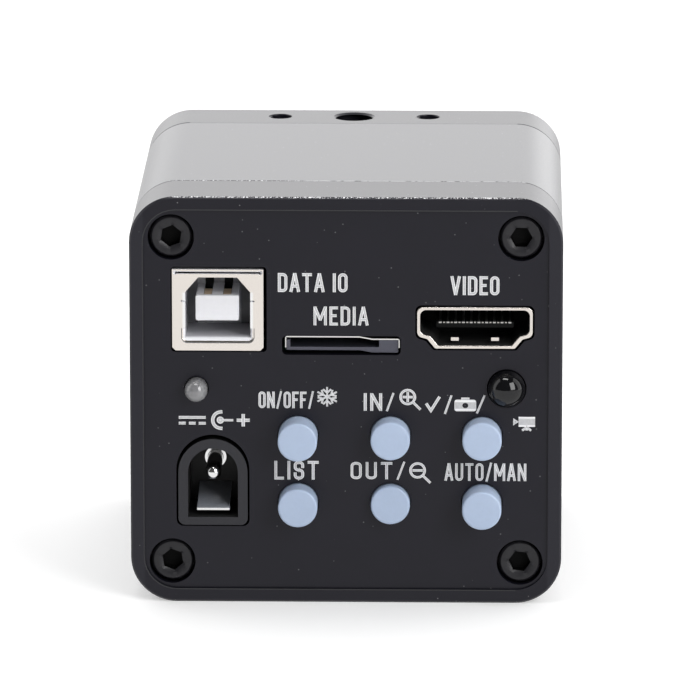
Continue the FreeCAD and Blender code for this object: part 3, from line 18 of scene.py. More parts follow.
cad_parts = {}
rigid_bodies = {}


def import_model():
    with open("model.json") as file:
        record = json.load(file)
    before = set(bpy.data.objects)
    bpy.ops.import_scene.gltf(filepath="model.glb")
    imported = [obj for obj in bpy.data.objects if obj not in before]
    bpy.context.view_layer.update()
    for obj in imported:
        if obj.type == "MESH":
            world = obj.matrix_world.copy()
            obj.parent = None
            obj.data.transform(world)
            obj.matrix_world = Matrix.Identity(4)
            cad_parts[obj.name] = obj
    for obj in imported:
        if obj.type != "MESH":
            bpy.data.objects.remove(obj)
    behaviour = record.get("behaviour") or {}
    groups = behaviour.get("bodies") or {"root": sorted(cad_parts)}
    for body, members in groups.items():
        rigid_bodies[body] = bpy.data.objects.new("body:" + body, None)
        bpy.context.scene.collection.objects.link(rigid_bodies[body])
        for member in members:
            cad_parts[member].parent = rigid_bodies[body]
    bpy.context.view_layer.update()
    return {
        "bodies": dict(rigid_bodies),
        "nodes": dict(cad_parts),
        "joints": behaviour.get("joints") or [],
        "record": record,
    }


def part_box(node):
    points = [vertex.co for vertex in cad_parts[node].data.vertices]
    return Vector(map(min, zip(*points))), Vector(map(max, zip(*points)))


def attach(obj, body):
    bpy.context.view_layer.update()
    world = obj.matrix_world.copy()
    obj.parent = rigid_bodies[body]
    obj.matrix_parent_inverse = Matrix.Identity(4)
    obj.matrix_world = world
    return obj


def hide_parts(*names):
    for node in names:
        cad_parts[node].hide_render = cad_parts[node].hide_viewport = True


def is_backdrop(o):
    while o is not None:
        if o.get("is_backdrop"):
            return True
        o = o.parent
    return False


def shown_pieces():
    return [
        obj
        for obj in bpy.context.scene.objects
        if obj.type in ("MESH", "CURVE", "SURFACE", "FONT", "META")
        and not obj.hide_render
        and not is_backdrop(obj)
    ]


LOG = logging.getLogger("microscope_camera")

MM = 0.001
HOUSING = "housing"
BUTTON_NAMES = ("power", "up", "confirm", "menu", "down", "mode")
ROUND_SEGMENTS = 96
ARC_STEPS = 8
MERGE_DISTANCE = 1e-7
FLAT_ANGLE = math.radians(0.1)
SHARP_ANGLE = math.radians(32)
# A face whose normal has less y than this looks out of the panel
FORWARD = -0.5
NOISE_MIDDLE = 0.5
# Radius of the ring that closes a turned piece on its axis
AXIS_RADIUS = 0.02
# A strip grows to at most twice its width in a corner
MITRE_LIMIT = 0.5
# The across attribute over a strip's section: 1 at the edges and 0 on the middle line
STRIP_ACROSS = (1.0, 1.0, 0.0, 1.0, 1.0)
INCH = 25.4

Point = tuple[float, float]
Corner = tuple[float, float, float]
Place = tuple[float, float, float]
Tilt = tuple[float, float, float]
Colour = tuple[float, float, float]
Span = tuple[float, float]


# Shader graphs


class Value:
    """Output of a shader node; arithmetic on it adds Math nodes to its graph."""

    def __init__(self, graph: "Graph", socket: bpy.types.NodeSocket) -> None:
        """Keep the graph and the socket."""
        self.graph = graph
        self.socket = socket

    def _math(self, operation: str, *values: "Value | float") -> "Value":
        """Result of a Math node on the values."""
        return self.graph.node("ShaderNodeMath", dict(enumerate(values)), operation=operation)

    def __add__(self, other: "Value | float") -> "Value":
        """Sum."""
        return self._math("ADD", self, other)

    def __radd__(self, other: float) -> "Value":
        """Sum with a number first."""
        return self._math("ADD", other, self)

    def __sub__(self, other: "Value | float") -> "Value":
        """Difference."""
        return self._math("SUBTRACT", self, other)

    def __rsub__(self, other: float) -> "Value":
        """Difference from a number."""
        return self._math("SUBTRACT", other, self)

    def __mul__(self, other: "Value | float") -> "Value":
        """Product."""
        return self._math("MULTIPLY", self, other)

    def __rmul__(self, other: float) -> "Value":
        """Product with a number first."""
        return self._math("MULTIPLY", other, self)

    def __gt__(self, other: "Value | float") -> "Value":
        """1 where this is the greater, else 0."""
        return self._math("GREATER_THAN", self, other)

    def __lt__(self, other: "Value | float") -> "Value":
        """1 where this is the smaller, else 0; a number > a value comes here."""
        return self._math("LESS_THAN", self, other)

    def __or__(self, other: "Value | float") -> "Value":
        """The greater of the two."""
        return self._math("MAXIMUM", self, other)

    def __ror__(self, other: float) -> "Value":
        """The greater of a number and this."""
        return self._math("MAXIMUM", other, self)

    def __abs__(self) -> "Value":
        """Distance from 0."""
        return self._math("ABSOLUTE", self)

    def root(self) -> "Value":
        """Square root."""
        return self._math("SQRT", self)

    def sine(self) -> "Value":
        """Sine of an angle in radians."""
        return self._math("SINE", self)

    def around(self, middle: float, share: float) -> "Value":
        """The middle value, which strays by a share of itself as this noise does."""
        return middle * (1 + (self - NOISE_MIDDLE) * share)


def rgba(colour: "Value | Colour") -> "Value | tuple[float, float, float, float]":
    """Opaque colour for a socket; a Value stays as it is."""
    return colour if isinstance(colour, Value) else (*colour, 1.0)


def scaled(colour: Colour, share: float) -> Colour:
    """Colour with its channels times a share, up to white."""
    return tuple(min(1.0, channel * share) for channel in colour)


class Graph:
    """Shader node tree that is filled node by node."""

    def __init__(self, tree: bpy.types.NodeTree) -> None:
        """Start with an empty tree."""
        self.tree = tree
        self.tree.nodes.clear()

    def node(self, kind: str, inputs: dict | None = None, output: str | int = 0, **settings: object) -> Value:
        """Add any node.

        Args:
            kind: Blender's name of the node type.
            inputs: Socket name or index to a Value to link or a constant to set.
            output: Name or index of the output to return.
            settings: Properties of the node.

        Returns:
            The chosen output.
        """
        node = self.tree.nodes.new(kind)
        for name, setting in settings.items():
            setattr(node, name, setting)
        for name, value in (inputs or {}).items():
            if isinstance(value, Value):
                self.tree.links.new(value.socket, node.inputs[name])
            else:
                node.inputs[name].default_value = value
        return Value(self, node.outputs[output])

    def place(self) -> Value:
        """Object coordinates, in metres."""
        return self.node("ShaderNodeTexCoord", output="Object")

    def axis(self, name: str) -> Value:
        """One of the object coordinates, in metres."""
        return self.node("ShaderNodeSeparateXYZ", {"Vector": self.place()}, output=name)

    def noise(self, size: float, detail: float = 2.0) -> Value:
        """Noise from 0 to 1 whose features are about size millimetres wide."""
        inputs = {"Vector": self.place(), "Scale": 1 / (size * MM), "Detail": detail}
        return self.node("ShaderNodeTexNoise", inputs)

    def ramp(self, value: Value, low: float, high: float) -> Value:
        """Smooth step from 0 at low to 1 at high."""
        limits = {"Value": value, "From Min": low, "From Max": high}
        return self.node("ShaderNodeMapRange", limits, interpolation_type="SMOOTHSTEP")

    def step(self, place: Value, span: Span) -> Value:
        """Smooth step of a coordinate over a span in millimetres."""
        return self.ramp(place, span[0] * MM, span[1] * MM)

    def blend(self, factor: Value, low: "Value | Colour", high: "Value | Colour") -> Value:
        """Colour between two colours."""
        sockets = {0: factor, 6: rgba(low), 7: rgba(high)}
        return self.node("ShaderNodeMix", sockets, output=2, data_type="RGBA")

    def bump(self, height: Value, depth: float, strength: float = 1.0) -> Value:
        """Normal that follows a height; depth is in millimetres."""
        return self.node("ShaderNodeBump", {"Height": height, "Distance": depth * MM, "Strength": strength})

    def principled(self, **inputs: "Value | float | Colour") -> Value:
        """Principled surface.

        Args:
            inputs: Values by the names of their sockets, in small letters with underscores for spaces.

        Returns:
            The surface.
        """
        named = {}
        for name, value in inputs.items():
            key = " ".join(word.capitalize() if word != "ior" else "IOR" for word in name.split("_"))
            named[key] = rgba(value) if name.endswith(("color", "tint")) else value
        return self.node("ShaderNodeBsdfPrincipled", named, output="BSDF")

    def mix_shader(self, factor: Value, low: Value, high: Value) -> Value:
        """Surface between two surfaces."""
        return self.node("ShaderNodeMixShader", {0: factor, 1: low, 2: high})

    def emission(self, colour: "Value | Colour") -> Value:
        """Surface that glows by itself."""
        return self.node("ShaderNodeEmission", {"Color": rgba(colour)})

    def finish(self, surface: Value, output: str = "ShaderNodeOutputMaterial") -> None:
        """Link the surface to the output."""
        node = self.tree.nodes.new(output)
        self.tree.links.new(surface.socket, node.inputs["Surface"])


# Finishes


@dataclass(frozen=True)
class Finish:
    """Named look whose material is made once."""

    name: str

    def material(self) -> bpy.types.Material:
        """Material of this finish, made when it is first asked for.

        Returns:
            The material.
        """
        made = bpy.data.materials.get(self.name)
        if made is None:
            made = bpy.data.materials.new(self.name)
            made.use_nodes = True
            graph = Graph(made.node_tree)
            graph.finish(self.surface(graph))
        return made

    def surface(self, graph: Graph) -> Value:
        """Surface of this finish; every finish gives its own."""
        raise NotImplementedError


@dataclass(frozen=True)
class MouldedFinish(Finish):
    """Plastic, rubber, board or painted surface with slightly uneven colour and gloss."""

    colour: Colour
    roughness: float = 0.45
    unevenness: float = 0.12
    grain: float = 0.4
    coat: float = 0.0
    subsurface: float = 0.0
    ior: float = 1.5
    coat_roughness: float = 0.08
    scatter: Colour = (1.0, 1.0, 1.2)
    scatter_depth: float = 0.4

    def shade(self, graph: Graph, cloud: Value) -> Value:
        """Colour of the moulding."""
        dark = scaled(self.colour, 1 - self.unevenness)
        return graph.blend(cloud, dark, scaled(self.colour, 1 + self.unevenness))

    def surface(self, graph: Graph) -> Value:
        """Surface of this finish.

        Args:
            graph: Graph that takes the nodes.

        Returns:
            The surface.
        """
        cloud = graph.noise(self.grain)
        return graph.principled(
            base_color=self.shade(graph, cloud),
            roughness=cloud.around(self.roughness, self.unevenness),
            ior=self.ior,
            coat_weight=self.coat,
            coat_roughness=self.coat_roughness,
            subsurface_weight=self.subsurface,
            subsurface_radius=self.scatter,
            subsurface_scale=self.scatter_depth * MM,
        )


@dataclass(frozen=True)
class DepthShadedFinish(MouldedFinish):
    """Surface inside a socket with painted shade that grows darker towards the back."""

    deep: Colour = (0.4, 0.4, 0.43)
    span: Span = (0.0, 1.0)

    def shade(self, graph: Graph, cloud: Value) -> Value:
        """Colour with painted shade that darkens with the depth."""
        depth = graph.step(graph.axis("Y"), self.span)
        return graph.blend(depth, super().shade(graph, cloud), self.deep)


@dataclass(frozen=True)
class SlotShadedBlockFinish(MouldedFinish):
    """Moulded block with painted shade: darker beside its tongue and black in the two slots above it."""

    middle: float = 0.0
    slot_pitch: float = 2.5
    slot_width: float = 1.04
    slot_foot: float = 12.2
    tongue_width: float = 5.6
    blur: float = 0.08
    beside: Colour = (0.25, 0.25, 0.265)
    slot_colour: Colour = (0.006, 0.006, 0.007)

    def shade(self, graph: Graph, cloud: Value) -> Value:
        """Colour of this finish.

        Args:
            graph: Graph that takes the nodes.
            cloud: Noise that the colour follows.

        Returns:
            The colour.
        """
        half_slot = self.slot_width / 2
        half_tongue = self.tongue_width / 2
        aside = abs(graph.axis("X") - self.middle * MM)
        from_slot = abs(aside - self.slot_pitch / 2 * MM)
        off_tongue = graph.step(aside, (half_tongue, half_tongue + self.blur))
        in_slot = 1 - graph.step(from_slot, (half_slot, half_slot + self.blur))
        above = graph.axis("Z") > self.slot_foot * MM
        # Painted shade beside the tongue and in the slots
        block = graph.blend(off_tongue, super().shade(graph, cloud), self.beside)
        return graph.blend(in_slot * above, block, self.slot_colour)


@dataclass(frozen=True)
class MetalFinish(Finish):
    """Bare or plated metal with fine unevenness."""

    colour: Colour
    roughness: float = 0.25
    grain: float = 0.25
    unevenness: float = 0.3
    relief: float = 0.002
    dark_share: float = 0.92
    detail: float = 4.0

    def shade(self, graph: Graph, cloud: Value) -> Value:
        """Colour of the metal."""
        return graph.blend(cloud, scaled(self.colour, self.dark_share), self.colour)

    def surface(self, graph: Graph) -> Value:
        """Surface of this finish.

        Args:
            graph: Graph that takes the nodes.

        Returns:
            The surface.
        """
        cloud = graph.noise(self.grain, self.detail)
        return graph.principled(
            base_color=self.shade(graph, cloud),
            metallic=1.0,
            roughness=cloud.around(self.roughness, self.unevenness),
            normal=graph.bump(cloud, self.relief),
        )


@dataclass(frozen=True)
class RolledEdgeHighlightFinish(MetalFinish):
    """Plated sheet with a painted highlight along the two sides of an opening, where it rolls in."""

    middle: float = 0.0
    reach: Span = (4.4, 4.7)
    foot: Span = (9.3, 9.6)
    head: Span = (14.1, 14.5)
    bright: Colour = (1.0, 1.0, 1.0)

    def shade(self, graph: Graph, cloud: Value) -> Value:
        """Colour of this finish, whiter in the painted highlight.

        Args:
            graph: Graph that takes the nodes.
            cloud: Noise that the colour follows.

        Returns:
            The colour.
        """
        aside = abs(graph.axis("X") - self.middle * MM)
        height = graph.axis("Z")
        highlight_band = 1 - graph.step(aside, self.reach)
        above = graph.step(height, self.foot)
        below = 1 - graph.step(height, self.head)
        # Painted highlight along both sides of the opening, between foot and head
        return graph.blend(highlight_band * above * below, super().shade(graph, cloud), self.bright)


@dataclass(frozen=True)
class TurnedFinish(Finish):
    """Metal turned on a lathe about the optical axis, with fine rings on its faces."""

    colour: Colour
    roughness: float = 0.22
    pitch: float = 0.12
    grain: float = 0.8
    roughness_rise: float = 0.1
    relief: float = 0.0015
    relief_strength: float = 0.5

    def surface(self, graph: Graph) -> Value:
        """Surface of this finish.

        Args:
            graph: Graph that takes the nodes.

        Returns:
            The surface.
        """
        x, z = graph.axis("X"), graph.axis("Z")
        radius = (x * x + z * z).root()
        rings = (radius * (2 * math.pi / (self.pitch * MM))).sine()
        return graph.principled(
            base_color=self.colour,
            metallic=1.0,
            roughness=self.roughness + graph.noise(self.grain) * self.roughness_rise,
            normal=graph.bump(rings, self.relief, self.relief_strength),
        )


@dataclass(frozen=True)
class AnodisedFinish(Finish):
    """Satin black anodising with a fine blasted grain and scattered dust, and a painted sheen that makes it a
    little lighter on both sides.
    """

    colour: Colour = (0.0065, 0.0065, 0.0108)
    roughness: float = 0.36
    tint: Colour = (0.96, 0.94, 1.0)
    ior: float = 1.4
    cloud_size: float = 6.0
    cloud_share: float = 0.15
    grain_size: float = 0.12
    grain_share: float = 0.12
    relief: float = 0.0015
    # Painted sheen: a lighter, bluer colour on both sides of the housing, past the side span
    side_colour: Colour = (0.015, 0.015, 0.0205)
    side: Span = (26.0, 26.4)
    dust_cell: float = 1.2
    dust_share: float = 0.5
    dust_radius: float = 0.12
    dust_core: float = 0.4
    dust_colour: Colour = (0.34, 0.34, 0.35)
    dust_roughness: float = 0.8

    def dust(self, graph: Graph) -> Value:
        """Specks in some of the cells of a pattern, each with a strength of its own.

        Args:
            graph: Graph that takes the nodes.

        Returns:
            Share of dust, from 0 to 1.
        """
        cell = {"Vector": graph.place(), "Scale": 1 / (self.dust_cell * MM)}
        distance = graph.node("ShaderNodeTexVoronoi", cell, output="Distance")
        colour = graph.node("ShaderNodeTexVoronoi", cell, output="Color")
        chance = graph.node("ShaderNodeSeparateColor", {"Color": colour}, output="Red")
        strength = graph.node("ShaderNodeSeparateColor", {"Color": colour}, output="Green")
        radius = self.dust_radius / self.dust_cell
        speck = 1 - graph.ramp(distance, radius * self.dust_core, radius)
        return speck * (chance > 1 - self.dust_share) * strength

    def coating(self, graph: Graph) -> Value:
        """The dusty coating by itself.

        Args:
            graph: Graph that takes the nodes.

        Returns:
            The surface.
        """
        speck = self.dust(graph)
        grain = graph.noise(self.grain_size)
        dark = scaled(self.colour, 1 - self.cloud_share)
        light = scaled(self.colour, 1 + self.cloud_share)
        clouded = graph.blend(graph.noise(self.cloud_size), dark, light)
        # Painted sheen towards both sides
        base = graph.blend(graph.step(abs(graph.axis("X")), self.side), clouded, self.side_colour)
        gloss = self.roughness + (grain - NOISE_MIDDLE) * self.grain_share
        return graph.principled(
            base_color=graph.blend(speck, base, self.dust_colour),
            roughness=gloss | (speck * self.dust_roughness),
            ior=self.ior,
            specular_tint=self.tint,
            normal=graph.bump(grain, self.relief),
        )

    def surface(self, graph: Graph) -> Value:
        """Surface of the coating."""
        return self.coating(graph)


@dataclass(frozen=True)
class WornEdgeFinish(AnodisedFinish):
    """Anodised edge where the coating is rubbed to bare metal in places, and dusty past its end."""

    metal: Colour = (0.9, 0.9, 0.92)
    metal_roughness: float = 0.5
    patch: float = 0.17
    bare_from: float = 0.5
    bare_fade: float = 0.1
    level: Span = (26.84, 26.9)
    end: Span = (30.0, 31.0)
    filled: float = 0.0
    dirt: Colour = (0.6, 0.6, 0.61)
    dirt_roughness: float = 0.8
    dirt_patch: float = 0.7
    dirt_edge: Span = (0.3, 0.55)

    def surface(self, graph: Graph) -> Value:
        """Surface of this finish.

        Args:
            graph: Graph that takes the nodes.

        Returns:
            The surface.
        """
        upper = graph.step(graph.axis("Z"), self.level)
        past_end = graph.step(graph.axis("X"), self.end)
        bare_share = graph.ramp(graph.noise(self.patch), self.bare_from, self.bare_from + self.bare_fade)
        bare = graph.principled(base_color=self.metal, metallic=1.0, roughness=self.metal_roughness)
        dirt = graph.principled(base_color=self.dirt, roughness=self.dirt_roughness)
        dirt_share = graph.ramp(graph.noise(self.dirt_patch), *self.dirt_edge) * self.filled
        dusty = graph.mix_shader(past_end * upper * dirt_share, self.coating(graph), dirt)
        return graph.mix_shader(bare_share * upper * (1 - past_end), dusty, bare)


@dataclass(frozen=True)
class EngravedFinish(Finish):
    """White laser marking, whiter along its outline than in its hatched middle."""

    colour: Colour = (0.97, 0.97, 0.98)
    middle: Colour = (0.36, 0.36, 0.38)
    roughness: float = 0.75
    outline: Span = (0.35, 0.85)
    hatch: float = 0.16
    hatch_edge: Span = (0.2, 0.9)
    hatch_share: float = 0.55
    grain: float = 0.3
    grain_share: float = 0.6

    def surface(self, graph: Graph) -> Value:
        """Surface of this finish.

        Args:
            graph: Graph that takes the nodes.

        Returns:
            The surface.
        """
        across = graph.node("ShaderNodeAttribute", output="Fac", attribute_name="across")
        lines = (graph.axis("X") * (2 * math.pi / (self.hatch * MM))).sine()
        hatched = graph.ramp(lines, *self.hatch_edge) * self.hatch_share
        white = graph.ramp(across, *self.outline) | hatched | (graph.noise(self.grain) * self.grain_share)
        return graph.principled(
            base_color=graph.blend(white, self.middle, self.colour), roughness=self.roughness
        )


@dataclass(frozen=True)
class GlassFinish(Finish):
    """Clear or tinted glass or resin."""

    colour: Colour
    roughness: float = 0.02
    ior: float = 1.5
    clearness: float = 1.0

    def surface(self, graph: Graph) -> Value:
        """Surface of this finish.

        Args:
            graph: Graph that takes the nodes.

        Returns:
            The surface.
        """
        return graph.principled(
            base_color=self.colour,
            roughness=self.roughness,
            ior=self.ior,
            transmission_weight=self.clearness,
        )


class Look(Enum):
    """Every finish; those named for one of the record's slots dress its CAD nodes."""

    BLACK_ANODISED = AnodisedFinish("anodised")
    FRONT_ANODISED = AnodisedFinish("anodised_front", roughness=0.34)
    TUBE_ANODISED = AnodisedFinish("anodised_tube", roughness=0.31, tint=(0.9, 0.9, 1.0))
    WORN_EDGE = WornEdgeFinish("anodised_worn")
    WORN_SEAM = WornEdgeFinish("anodised_worn_seam", bare_from=0.53, end=(-9.0, -4.0), filled=0.85)
    # Painted highlight, partly also wear: lighter line along the edge of the panel's recess
    RECESS_EDGE = MouldedFinish("anodised_recess_painted_highlight", (0.024, 0.024, 0.027), 0.5)
    RING_STEEL = TurnedFinish("turned_steel", (0.62, 0.62, 0.63))
    BLACK_STEEL = MouldedFinish("black_oxide", (0.0125, 0.012, 0.015), 0.4, ior=1.45)
    # Painted shade: darker than the black oxide head, in the screws' hex sockets
    BLACK_SOCKET = MouldedFinish("black_oxide_socket_painted_shade", (0.002, 0.002, 0.002), 0.6, ior=1.2)
    ZINC_STEEL = MetalFinish("zinc", (0.62, 0.63, 0.65), 0.3)
    CIRCUIT_BOARD = MouldedFinish("solder_mask", (0.012, 0.07, 0.035), 0.35, grain=1.5)
    CHIP_BLACK = MouldedFinish("chip_resin", (0.018, 0.018, 0.02), 0.6)
    FILTER_GLASS = GlassFinish("filter", (0.9, 0.96, 1.0))
    GASKET_RUBBER = MouldedFinish("rubber", (0.012, 0.012, 0.012), 0.8)
    CERAMIC = MouldedFinish("ceramic", (0.5, 0.49, 0.45), 0.55)
    SENSOR_SILICON = MouldedFinish("silicon", (0.05, 0.045, 0.07), 0.12, coat=1.0)
    SOCKET_STEEL = MetalFinish("plated_sheet", (0.9, 0.84, 0.78), 0.22)
    # Painted highlight: the data socket's front plate is whiter along the sides of its opening
    PLATE_STEEL = RolledEdgeHighlightFinish("plated_front_painted_highlight", (0.92, 0.86, 0.8), 0.22, middle=-16.58)
    # Painted highlight: the data socket's lip in a pale matt copy of its plated sheet, standing in for the
    # light it reflects
    LIP_STEEL = MouldedFinish("plated_lip_painted_highlight", (0.9, 0.9, 0.93), 0.3, 0.02)
    # Painted shade: a pale copy of the data socket's plated sheet that darkens towards the back of the socket
    SHADED_STEEL = DepthShadedFinish(
        "plated_sheet_painted_shade", (0.92, 0.92, 0.95), 0.3, 0.02, deep=(0.54, 0.54, 0.57), span=(-62.6, -58.0)
    )
    # Painted shade: near black on the rear of the data socket's contacts and inside the video socket's shell
    DARK_STEEL = MouldedFinish("sheet_painted_shade", (0.03, 0.03, 0.03), 0.4)
    COVER_STEEL = MetalFinish("cover_sheet", (0.98, 0.97, 0.94), 0.3)
    # Painted shade: a darker bluish grey copy of the spring's steel, standing in for the dark that it
    # reflects; its forward faces keep the bright steel
    SPRING_STEEL = MouldedFinish("spring_leaf_painted_shade", (0.36, 0.38, 0.43), 0.12, ior=2.6)
    TIP_TIN = MetalFinish("contact_tips", (0.6, 0.58, 0.55), 0.4)
    BRIGHT_STEEL = MetalFinish("bright_pin", (0.9, 0.9, 0.9), 0.1, relief=0.001)
    TONGUE_WHITE = MouldedFinish("white_nylon", (0.87, 0.87, 0.9), 0.4, 0.03, subsurface=0.1)
    # Painted shade: the insulator's white nylon, greyer on the block behind the tongue, darker beside it and
    # black in its slots
    BLOCK_GREY = SlotShadedBlockFinish("nylon_block_painted_shade", (0.72, 0.72, 0.74), 0.5, middle=-16.68)
    SOCKET_BLACK = MouldedFinish("socket_plastic", (0.017, 0.017, 0.0225), 0.42)
    # Painted shade: a darker copy of the jack's plastic, inside the socket
    SOCKET_DEPTH = MouldedFinish("socket_plastic_painted_shade", (0.013, 0.013, 0.0135), 0.5)
    VIDEO_BLACK = MouldedFinish("video_plastic", (0.008, 0.008, 0.008), 0.5, ior=1.15)
    SLOT_GREY = MouldedFinish("slot_plastic", (0.078, 0.079, 0.105), 0.45)
    # Painted shade: a darker copy of the card slot's plastic, inside the slot
    SLOT_DEPTH = MouldedFinish("slot_plastic_painted_shade", (0.03, 0.032, 0.045), 0.5)
    CONTACT_BRASS = MouldedFinish("brass", (0.6, 0.46, 0.31), 0.35)
    CONTACT_TIN = MetalFinish("tin", (0.8, 0.8, 0.8), 0.3)
    BUTTON_BLUE = MouldedFinish("button_plastic", (0.462, 0.56, 0.733), 0.4, 0.03, subsurface=0.12)
    SWITCH_BLACK = MouldedFinish("switch_plastic", (0.02, 0.02, 0.02), 0.5)
    STEM_WHITE = MouldedFinish("stem_plastic", (0.75, 0.75, 0.73), 0.45)
    LED_LENS = MouldedFinish("led_resin", (0.24, 0.24, 0.247), 0.22, 0.05, coat=1.0, subsurface=0.3)
    RECEIVER_BLACK = MouldedFinish("receiver_resin", (0.004, 0.004, 0.005), 0.06, 0.02)
    FLEX_FILM = MouldedFinish("flex_film", (0.35, 0.16, 0.04), 0.3)
    CONNECTOR_IVORY = MouldedFinish("ivory_plastic", (0.72, 0.68, 0.56), 0.5)
    ENGRAVED = EngravedFinish("engraved_white")

    def material(self) -> bpy.types.Material:
        """Material of this look."""
        return self.value.material()


# Mesh tools


def rounded(corners: Sequence[Corner], closed: bool) -> list[Point]:
    """Points along a path whose corners are rounded.

    Args:
        corners: Corner points with the radius of each.
        closed: Whether the path comes back to its start; an open path's ends keep their points.

    Returns:
        Points of the straight stretches and arcs in order.
    """
    points: list[Point] = []
    count = len(corners)
    for index, (u, v, radius) in enumerate(corners):
        here = Vector((u, v))
        if radius <= 0 or (not closed and index in (0, count - 1)):
            points.append((u, v))
            continue
        before = (Vector(corners[index - 1][:2]) - here).normalized()
        after = (Vector(corners[(index + 1) % count][:2]) - here).normalized()
        half = before.angle(after) / 2
        centre = here + (before + after).normalized() * (radius / math.sin(half))
        reach = radius / math.tan(half)
        start = here + before * reach - centre
        end = here + after * reach - centre
        sweep = math.pi - 2 * half
        turn = 1 if start.x * end.y - start.y * end.x > 0 else -1
        for step in range(ARC_STEPS + 1):
            spoke = Matrix.Rotation(turn * sweep * step / ARC_STEPS, 2) @ start
            points.append((centre.x + spoke.x, centre.y + spoke.y))
    return points


def circle(radius: float, y: float, centre: Point, count: int = ROUND_SEGMENTS) -> list[Vector]:
    """Ring of points about an axis along Y."""
    turns = (2 * math.pi * index / count for index in range(count))
    return [Vector((centre[0] + radius * math.cos(t), y, centre[1] + radius * math.sin(t))) for t in turns]


def polygon_ring(sides: int, flats: float, y: float, centre: Point, count: int) -> list[Vector]:
    """Ring along a regular polygon about an axis along Y, with points spread like those of a circle.

    Args:
        sides: Number of sides.
        flats: Width across opposite flats.
        y: Station of the ring.
        centre: Place (x, z) of the axis.
        count: Number of points.

    Returns:
        The points in order.
    """
    half_step = math.pi / sides
    ring = []
    for index in range(count):
        turn = 2 * math.pi * index / count
        from_flat = (turn + half_step) % (2 * half_step) - half_step
        reach = flats / 2 / math.cos(from_flat)
        ring.append(Vector((centre[0] + reach * math.cos(turn), y, centre[1] + reach * math.sin(turn))))
    return ring


class MeshBuilder:
    """Collects closed shells in millimetres and makes one mesh object of them."""

    def __init__(self) -> None:
        """Start with an empty mesh that keeps a value across each strip."""
        self.mesh = bmesh.new()
        self.across = self.mesh.verts.layers.float.new("across")

    def loft(
        self, rings: Sequence[Sequence[Vector]], looped: bool = False, across: Sequence[float] | None = None
    ) -> None:
        """Add a shell through rings of equal length, capped at both ends.

        Args:
            rings: Rings of points in order.
            looped: Whether the last ring joins the first instead of being capped.
            across: Value of the across attribute for each place in a ring.
        """
        rows = [[self.mesh.verts.new(point * MM) for point in ring] for ring in rings]
        for row in rows:
            for vertex, value in zip(row, across or [0.0] * len(row)):
                vertex[self.across] = value
        pairs = list(zip(rows, rows[1:] + rows[:1])) if looped else list(zip(rows, rows[1:]))
        faces = []
        for low, high in pairs:
            for index in range(len(low)):
                after = (index + 1) % len(low)
                faces.append(self.mesh.faces.new((low[index], low[after], high[after], high[index])))
        if not looped:
            faces += [self.mesh.faces.new(rows[0]), self.mesh.faces.new(rows[-1])]
        bmesh.ops.recalc_face_normals(self.mesh, faces=faces)

    def turn(self, profile: Iterable[Point], centre: Point) -> None:
        """Add a shell turned about an axis along Y from points (radius, y)."""
        self.loft([circle(radius, y, centre) for radius, y in profile])

    def ribbon(self, path: Sequence[Point], closed: bool, width: float, y: Span) -> None:
        """Add a flat strip along a path in the XZ plane, between two stations of y, face first.

        Args:
            path: Points (x, z) of the middle line; an open path is lengthened by half the width at both ends.
            closed: Whether the path comes back to its start.
            width: Width of the strip.
            y: Stations of its face and of its back.
        """
        if not closed:
            first, second = Vector(path[0]), Vector(path[1])
            last, before_last = Vector(path[-1]), Vector(path[-2])
            start = first + (first - second).normalized() * (width / 2)
            end = last + (last - before_last).normalized() * (width / 2)
            path = [tuple(start), *path[1:-1], tuple(end)]
        count = len(path)
        rings = []
        for index, (x, z) in enumerate(path):
            here = Vector((x, z))
            before = Vector(path[index - 1]) if closed or index > 0 else None
            after = Vector(path[(index + 1) % count]) if closed or index < count - 1 else None
            into = (here - before).normalized() if before is not None else (after - here).normalized()
            out = (after - here).normalized() if after is not None else into
            along = (into + out).normalized()
            side = Vector((-along.y, along.x)) * (width / 2 / max(MITRE_LIMIT, along.dot(into)))
            left, right = here + side, here - side
            rings.append(
                [
                    Vector((left.x, y[1], left.y)),
                    Vector((left.x, y[0], left.y)),
                    Vector((x, y[0], z)),
                    Vector((right.x, y[0], right.y)),
                    Vector((right.x, y[1], right.y)),
                ]
            )
        self.loft(rings, closed, STRIP_ACROSS)

    def make(self, name: str, *looks: Look) -> bpy.types.Object:
        """Turn everything that was added into one object.

        Args:
            name: Name of the object.
            looks: Its looks, in the order of its material slots.

        Returns:
            The object, in metres.
        """
        mesh = bpy.data.meshes.new(name)
        self.mesh.to_mesh(mesh)
        self.mesh.free()
        return smooth_object(name, mesh, looks)


def smooth_object(name: str, mesh: bpy.types.Mesh, looks: Iterable[Look]) -> bpy.types.Object:
    """Add an object with a mesh that is shaded smooth up to the sharp angle.

    Args:
        name: Name of the object.
        mesh: Its mesh, in metres.
        looks: Its looks, in order.

    Returns:
        The object.
    """
    if mesh.has_custom_normals:
        mesh.attributes.remove(mesh.attributes["custom_normal"])
    mesh.shade_smooth()
    mesh.set_sharp_from_angle(angle=SHARP_ANGLE)
    mesh.materials.clear()
    for look in looks:
        mesh.materials.append(look.material())
    made = bpy.data.objects.new(name, mesh)
    bpy.context.scene.collection.objects.link(made)
    return made


def baked(piece: bpy.types.Object) -> bpy.types.Object:
    """Replace a piece's mesh by what its modifiers make of it, and remove them.

    Args:
        piece: Object with modifiers.

    Returns:
        The same object.
    """
    bpy.context.view_layer.update()
    evaluated = piece.evaluated_get(bpy.context.evaluated_depsgraph_get())
    mesh = bpy.data.meshes.new_from_object(evaluated)
    piece.modifiers.clear()
    piece.data = mesh
    return piece


